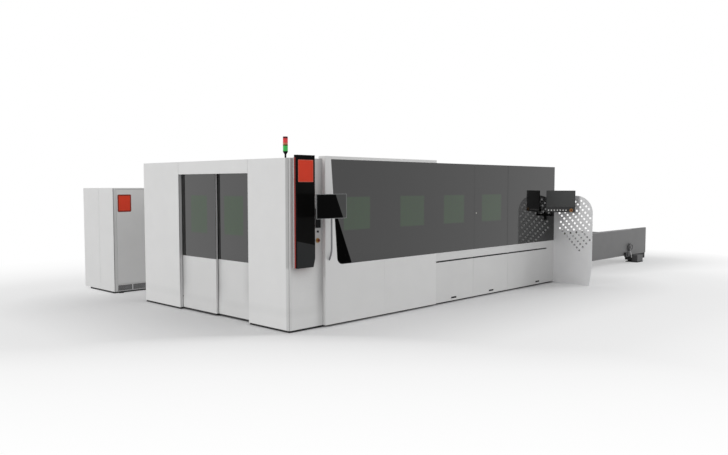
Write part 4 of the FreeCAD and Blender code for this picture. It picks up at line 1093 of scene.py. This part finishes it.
def corner_seam():
    """Dark line in the middle of the column's rounded corner."""
    middle = CORNER_R * (1 - cos(radians(45)))
    low, high = middle - SEAM_HALF, middle + SEAM_HALF
    outline = [(high, low), (high - SEAM_PROUD, low - SEAM_PROUD),
               (low - SEAM_PROUD, high - SEAM_PROUD), (low, high)]
    single_piece("corner_seam", seam_and_shadow_black, "housing_white", prism,
                 [mm(x, y, SEAM_FOOT) for x, y in outline], length(UP, SEAM_H))


# ---- exchange table ---------------------------------------------------------------------

TABLE_FACE = TABLE_Y[0]
WHEEL_AT = (11905, TABLE_FACE, 405)
WHEEL = [(0, 0.100), (0.056, 0.100), (0.060, 0.096), (0.060, 0.080), (0.045, 0.074),
         (0.045, 0.034), (0.062, 0.030), (0.062, 0)]
GEAR_CASE = ((11600, 340, 170), (11820, TABLE_FACE, 285))
GEAR_AT = (11710, 345, 228)
GEAR_COVER = [(0, 0.050), (0.015, 0.050), (0.020, 0.044), (0.020, 0)]
PEDESTAL = ((12066, 246, 20), (12414, TABLE_FACE, 190))
TABLE_EDGE = ((7150, 398.6, 858), (12030, TABLE_FACE, 879))
STRAP_SHAPE = [(11846, 318), (11880, 322), (11940, 250), (11985, 150), (11985, 126),
               (11950, 126), (11915, 215)]
STRAP_Y = 352
STRAP_T = 10


def table_trim():
    """Drive wheel, gear case, pedestal, edge strip and strap."""
    single_piece("shuttle_wheel", wheel_grey, "drive_dark", lathe, mm(*WHEEL_AT), OUTWARD, WHEEL,
                 stands_for=("shuttle_drive",))
    bm = bmesh.new()
    block(bm, *GEAR_CASE)
    lathe(bm, mm(*GEAR_AT), OUTWARD, GEAR_COVER)
    add_piece("shuttle_gear", bm, drive_paint, "drive_dark", edge=0.006)
    single_piece("table_pedestal", pedestal_grey, "drive_dark", block, *PEDESTAL, edge=0.006)
    single_piece("table_edge_strip", edge_grey, "table_grey", block, *TABLE_EDGE)
    single_piece("shuttle_strap", strap_and_seam_shade_grey, "table_grey", prism,
                 facing_operator(STRAP_SHAPE, STRAP_Y), length(INWARD, STRAP_T))


guard_screen()
signal_tower()
sign_column()
side_door_trim()
wall_switches()
terminals()
pallets()
cabinet_plates()
service_door_lock()
cabinet_trim()
cover_slots()
corner_seam()
table_trim()


# ---- floor ------------------------------------------------------------------------------

CAMERA_TURN = 43.853                     # degrees from +X towards +Y
FLOOR_HALF = 120.0
FLOOR_GAP = 0.0005                       # under the feet
FLOOR_TONE = (0.86, 0.86, 0.865)
# Share of pure white on the floor, as (part of the reach, share).
ASIDE_REACH = 8.0
ASIDE = [(0.0, 0.0), (0.30, 0.57), (0.45, 0.64), (0.60, 0.80), (0.78, 0.93), (1.0, 1.0)]
TABLE_REACH = 3.2
TABLE = [(0.0, 0.38), (0.16, 0.40), (0.28, 0.48), (0.41, 0.62), (0.53, 0.72), (0.70, 0.82),
         (1.0, 1.0)]
FRONT_REACH = 5.0
FRONT = [(0.0, 0.0), (0.04, 0.30), (0.12, 0.53), (0.22, 0.66), (0.40, 0.82), (0.60, 0.91),
         (0.80, 0.97), (1.0, 1.0)]


def clear_of(tree, place, x_range, y_range):
    """Distance over the floor from a rectangle of the drawing."""
    low, high = mm(x_range[0], y_range[0], 0), mm(x_range[1], y_range[1], 0)
    centre, half = (low + high) / 2, (high - low) / 2
    step = vector_step(tree, "SUBTRACT", place, (centre.x, centre.y, 0))
    step = vector_step(tree, "ABSOLUTE", step)
    step = vector_step(tree, "SUBTRACT", step, (half.x, half.y, 0))
    step = vector_step(tree, "MAXIMUM", step, (0, 0, 0))
    return vector_step(tree, "LENGTH", step)


def before_corner(tree, place):
    """Distance of a place before the housing's near corner, as the camera looks at it."""
    turn = radians(CAMERA_TURN)
    step = vector_step(tree, "SUBTRACT", place, CORNER)
    return vector_step(tree, "DOT_PRODUCT", step, (-cos(turn), -sin(turn), 0))


def any_sight(tree):
    """1 for camera, glossy and transmission rays."""
    path = tree.nodes.new("ShaderNodeLightPath")
    total = path.outputs["Is Camera Ray"]
    for name in ("Is Glossy Ray", "Is Transmission Ray"):
        total = math_step(tree, "MAXIMUM", total, path.outputs[name])
    return total


def floor_material():
    """Pale floor that keeps the shadow near the object and turns white further out."""
    mat, tree, shader, place = node_material("studio_floor")
    shader.inputs["Base Color"].default_value = (*FLOOR_TONE, 1)
    shader.inputs["Roughness"].default_value = 0.9
    shader.inputs["Specular IOR Level"].default_value = 0.2
    white = tree.nodes.new("ShaderNodeEmission")
    white.inputs["Strength"].default_value = 1.0

    aside = falloff(tree, clear_of(tree, place, HOUSE_X, HOUSE_Y), ASIDE_REACH, ASIDE)
    table = falloff(tree, clear_of(tree, place, TABLE_X, TABLE_Y), TABLE_REACH, TABLE)
    front = falloff(tree, before_corner(tree, place), FRONT_REACH, FRONT)
    share = math_step(tree, "MINIMUM", aside, table)
    share = math_step(tree, "MAXIMUM", share, front)

    mix = tree.nodes.new("ShaderNodeMixShader")
    tree.links.new(math_step(tree, "MULTIPLY", share, any_sight(tree)), mix.inputs["Fac"])
    tree.links.new(shader.outputs["BSDF"], mix.inputs[1])
    tree.links.new(white.outputs["Emission"], mix.inputs[2])
    tree.links.new(mix.outputs["Shader"], tree.nodes["Material Output"].inputs["Surface"])
    return mat


def make_floor():
    mesh = bpy.data.meshes.new("floor")
    corners = [Vector((x, y, 0)) * FLOOR_HALF for x, y in rectangle((-1, 1), (-1, 1))]
    mesh.from_pydata(corners, [], [(0, 1, 2, 3)])
    floor = bpy.data.objects.new("floor", mesh)
    bpy.context.scene.collection.objects.link(floor)
    floor.location.z = CAD_BOX[0].z - FLOOR_GAP
    mesh.materials.append(floor_material())


# ---- light and camera -------------------------------------------------------------------

SKY_LEVEL = 0.45
LAMP_POWER = 7700
# Place and target from the housing's near corner, and width.
SIDE_LAMP = ((-48, 4.8, 16), (2, 2, 1), 10.0)
KEY_LAMP = ((42, -20, 13), (2, 0, 1), 22.0)
CAMERA_AT = (-6.204, -7.378, 2.035)      # from the housing's near corner
CAMERA_DIP = 3.461                       # degrees below the horizon
CAMERA_LENS = 35.0                       # millimetres, as the frame's width
CAMERA_FRAME = 36.0
CAMERA_REACH = 500.0


def make_world():
    """Soft sky that lights the object but is seen as plain white."""
    world = bpy.data.worlds.new("studio")
    bpy.context.scene.world = world
    world.use_nodes = True
    tree = world.node_tree
    sky = tree.nodes["Background"]
    backdrop = tree.nodes.new("ShaderNodeBackground")
    for node, strength in ((sky, SKY_LEVEL), (backdrop, 1.0)):
        node.inputs["Color"].default_value = (1, 1, 1, 1)
        node.inputs["Strength"].default_value = strength
    mix = tree.nodes.new("ShaderNodeMixShader")
    tree.links.new(any_sight(tree), mix.inputs["Fac"])
    tree.links.new(sky.outputs["Background"], mix.inputs[1])
    tree.links.new(backdrop.outputs["Background"], mix.inputs[2])
    tree.links.new(mix.outputs["Shader"], tree.nodes["World Output"].inputs["Surface"])


def soft_lamp(name, place, target, size):
    """Large disk lamp that gives no highlight of its own."""
    data = bpy.data.lights.new(name, "AREA")
    data.shape = "DISK"
    data.size = size
    data.energy = LAMP_POWER
    data.specular_factor = 0.0
    lamp = bpy.data.objects.new(name, data)
    bpy.context.scene.collection.objects.link(lamp)
    lamp.visible_glossy = False
    lamp.location = at(*place)
    lamp.rotation_euler = (at(*target) - at(*place)).to_track_quat("-Z", "Y").to_euler()


def make_camera():
    data = bpy.data.cameras.new("camera")
    data.lens = CAMERA_LENS
    data.sensor_width = CAMERA_FRAME
    data.clip_end = CAMERA_REACH
    camera = bpy.data.objects.new("camera", data)
    bpy.context.scene.collection.objects.link(camera)
    camera.location = at(*CAMERA_AT)
    camera.rotation_euler = (radians(90 - CAMERA_DIP), 0, radians(CAMERA_TURN - 90))
    bpy.context.scene.camera = camera


make_floor()
make_world()
make_camera()
soft_lamp("side_lamp", *SIDE_LAMP)
soft_lamp("key_lamp", *KEY_LAMP)

bpy.context.scene.view_settings.view_transform = "Standard"
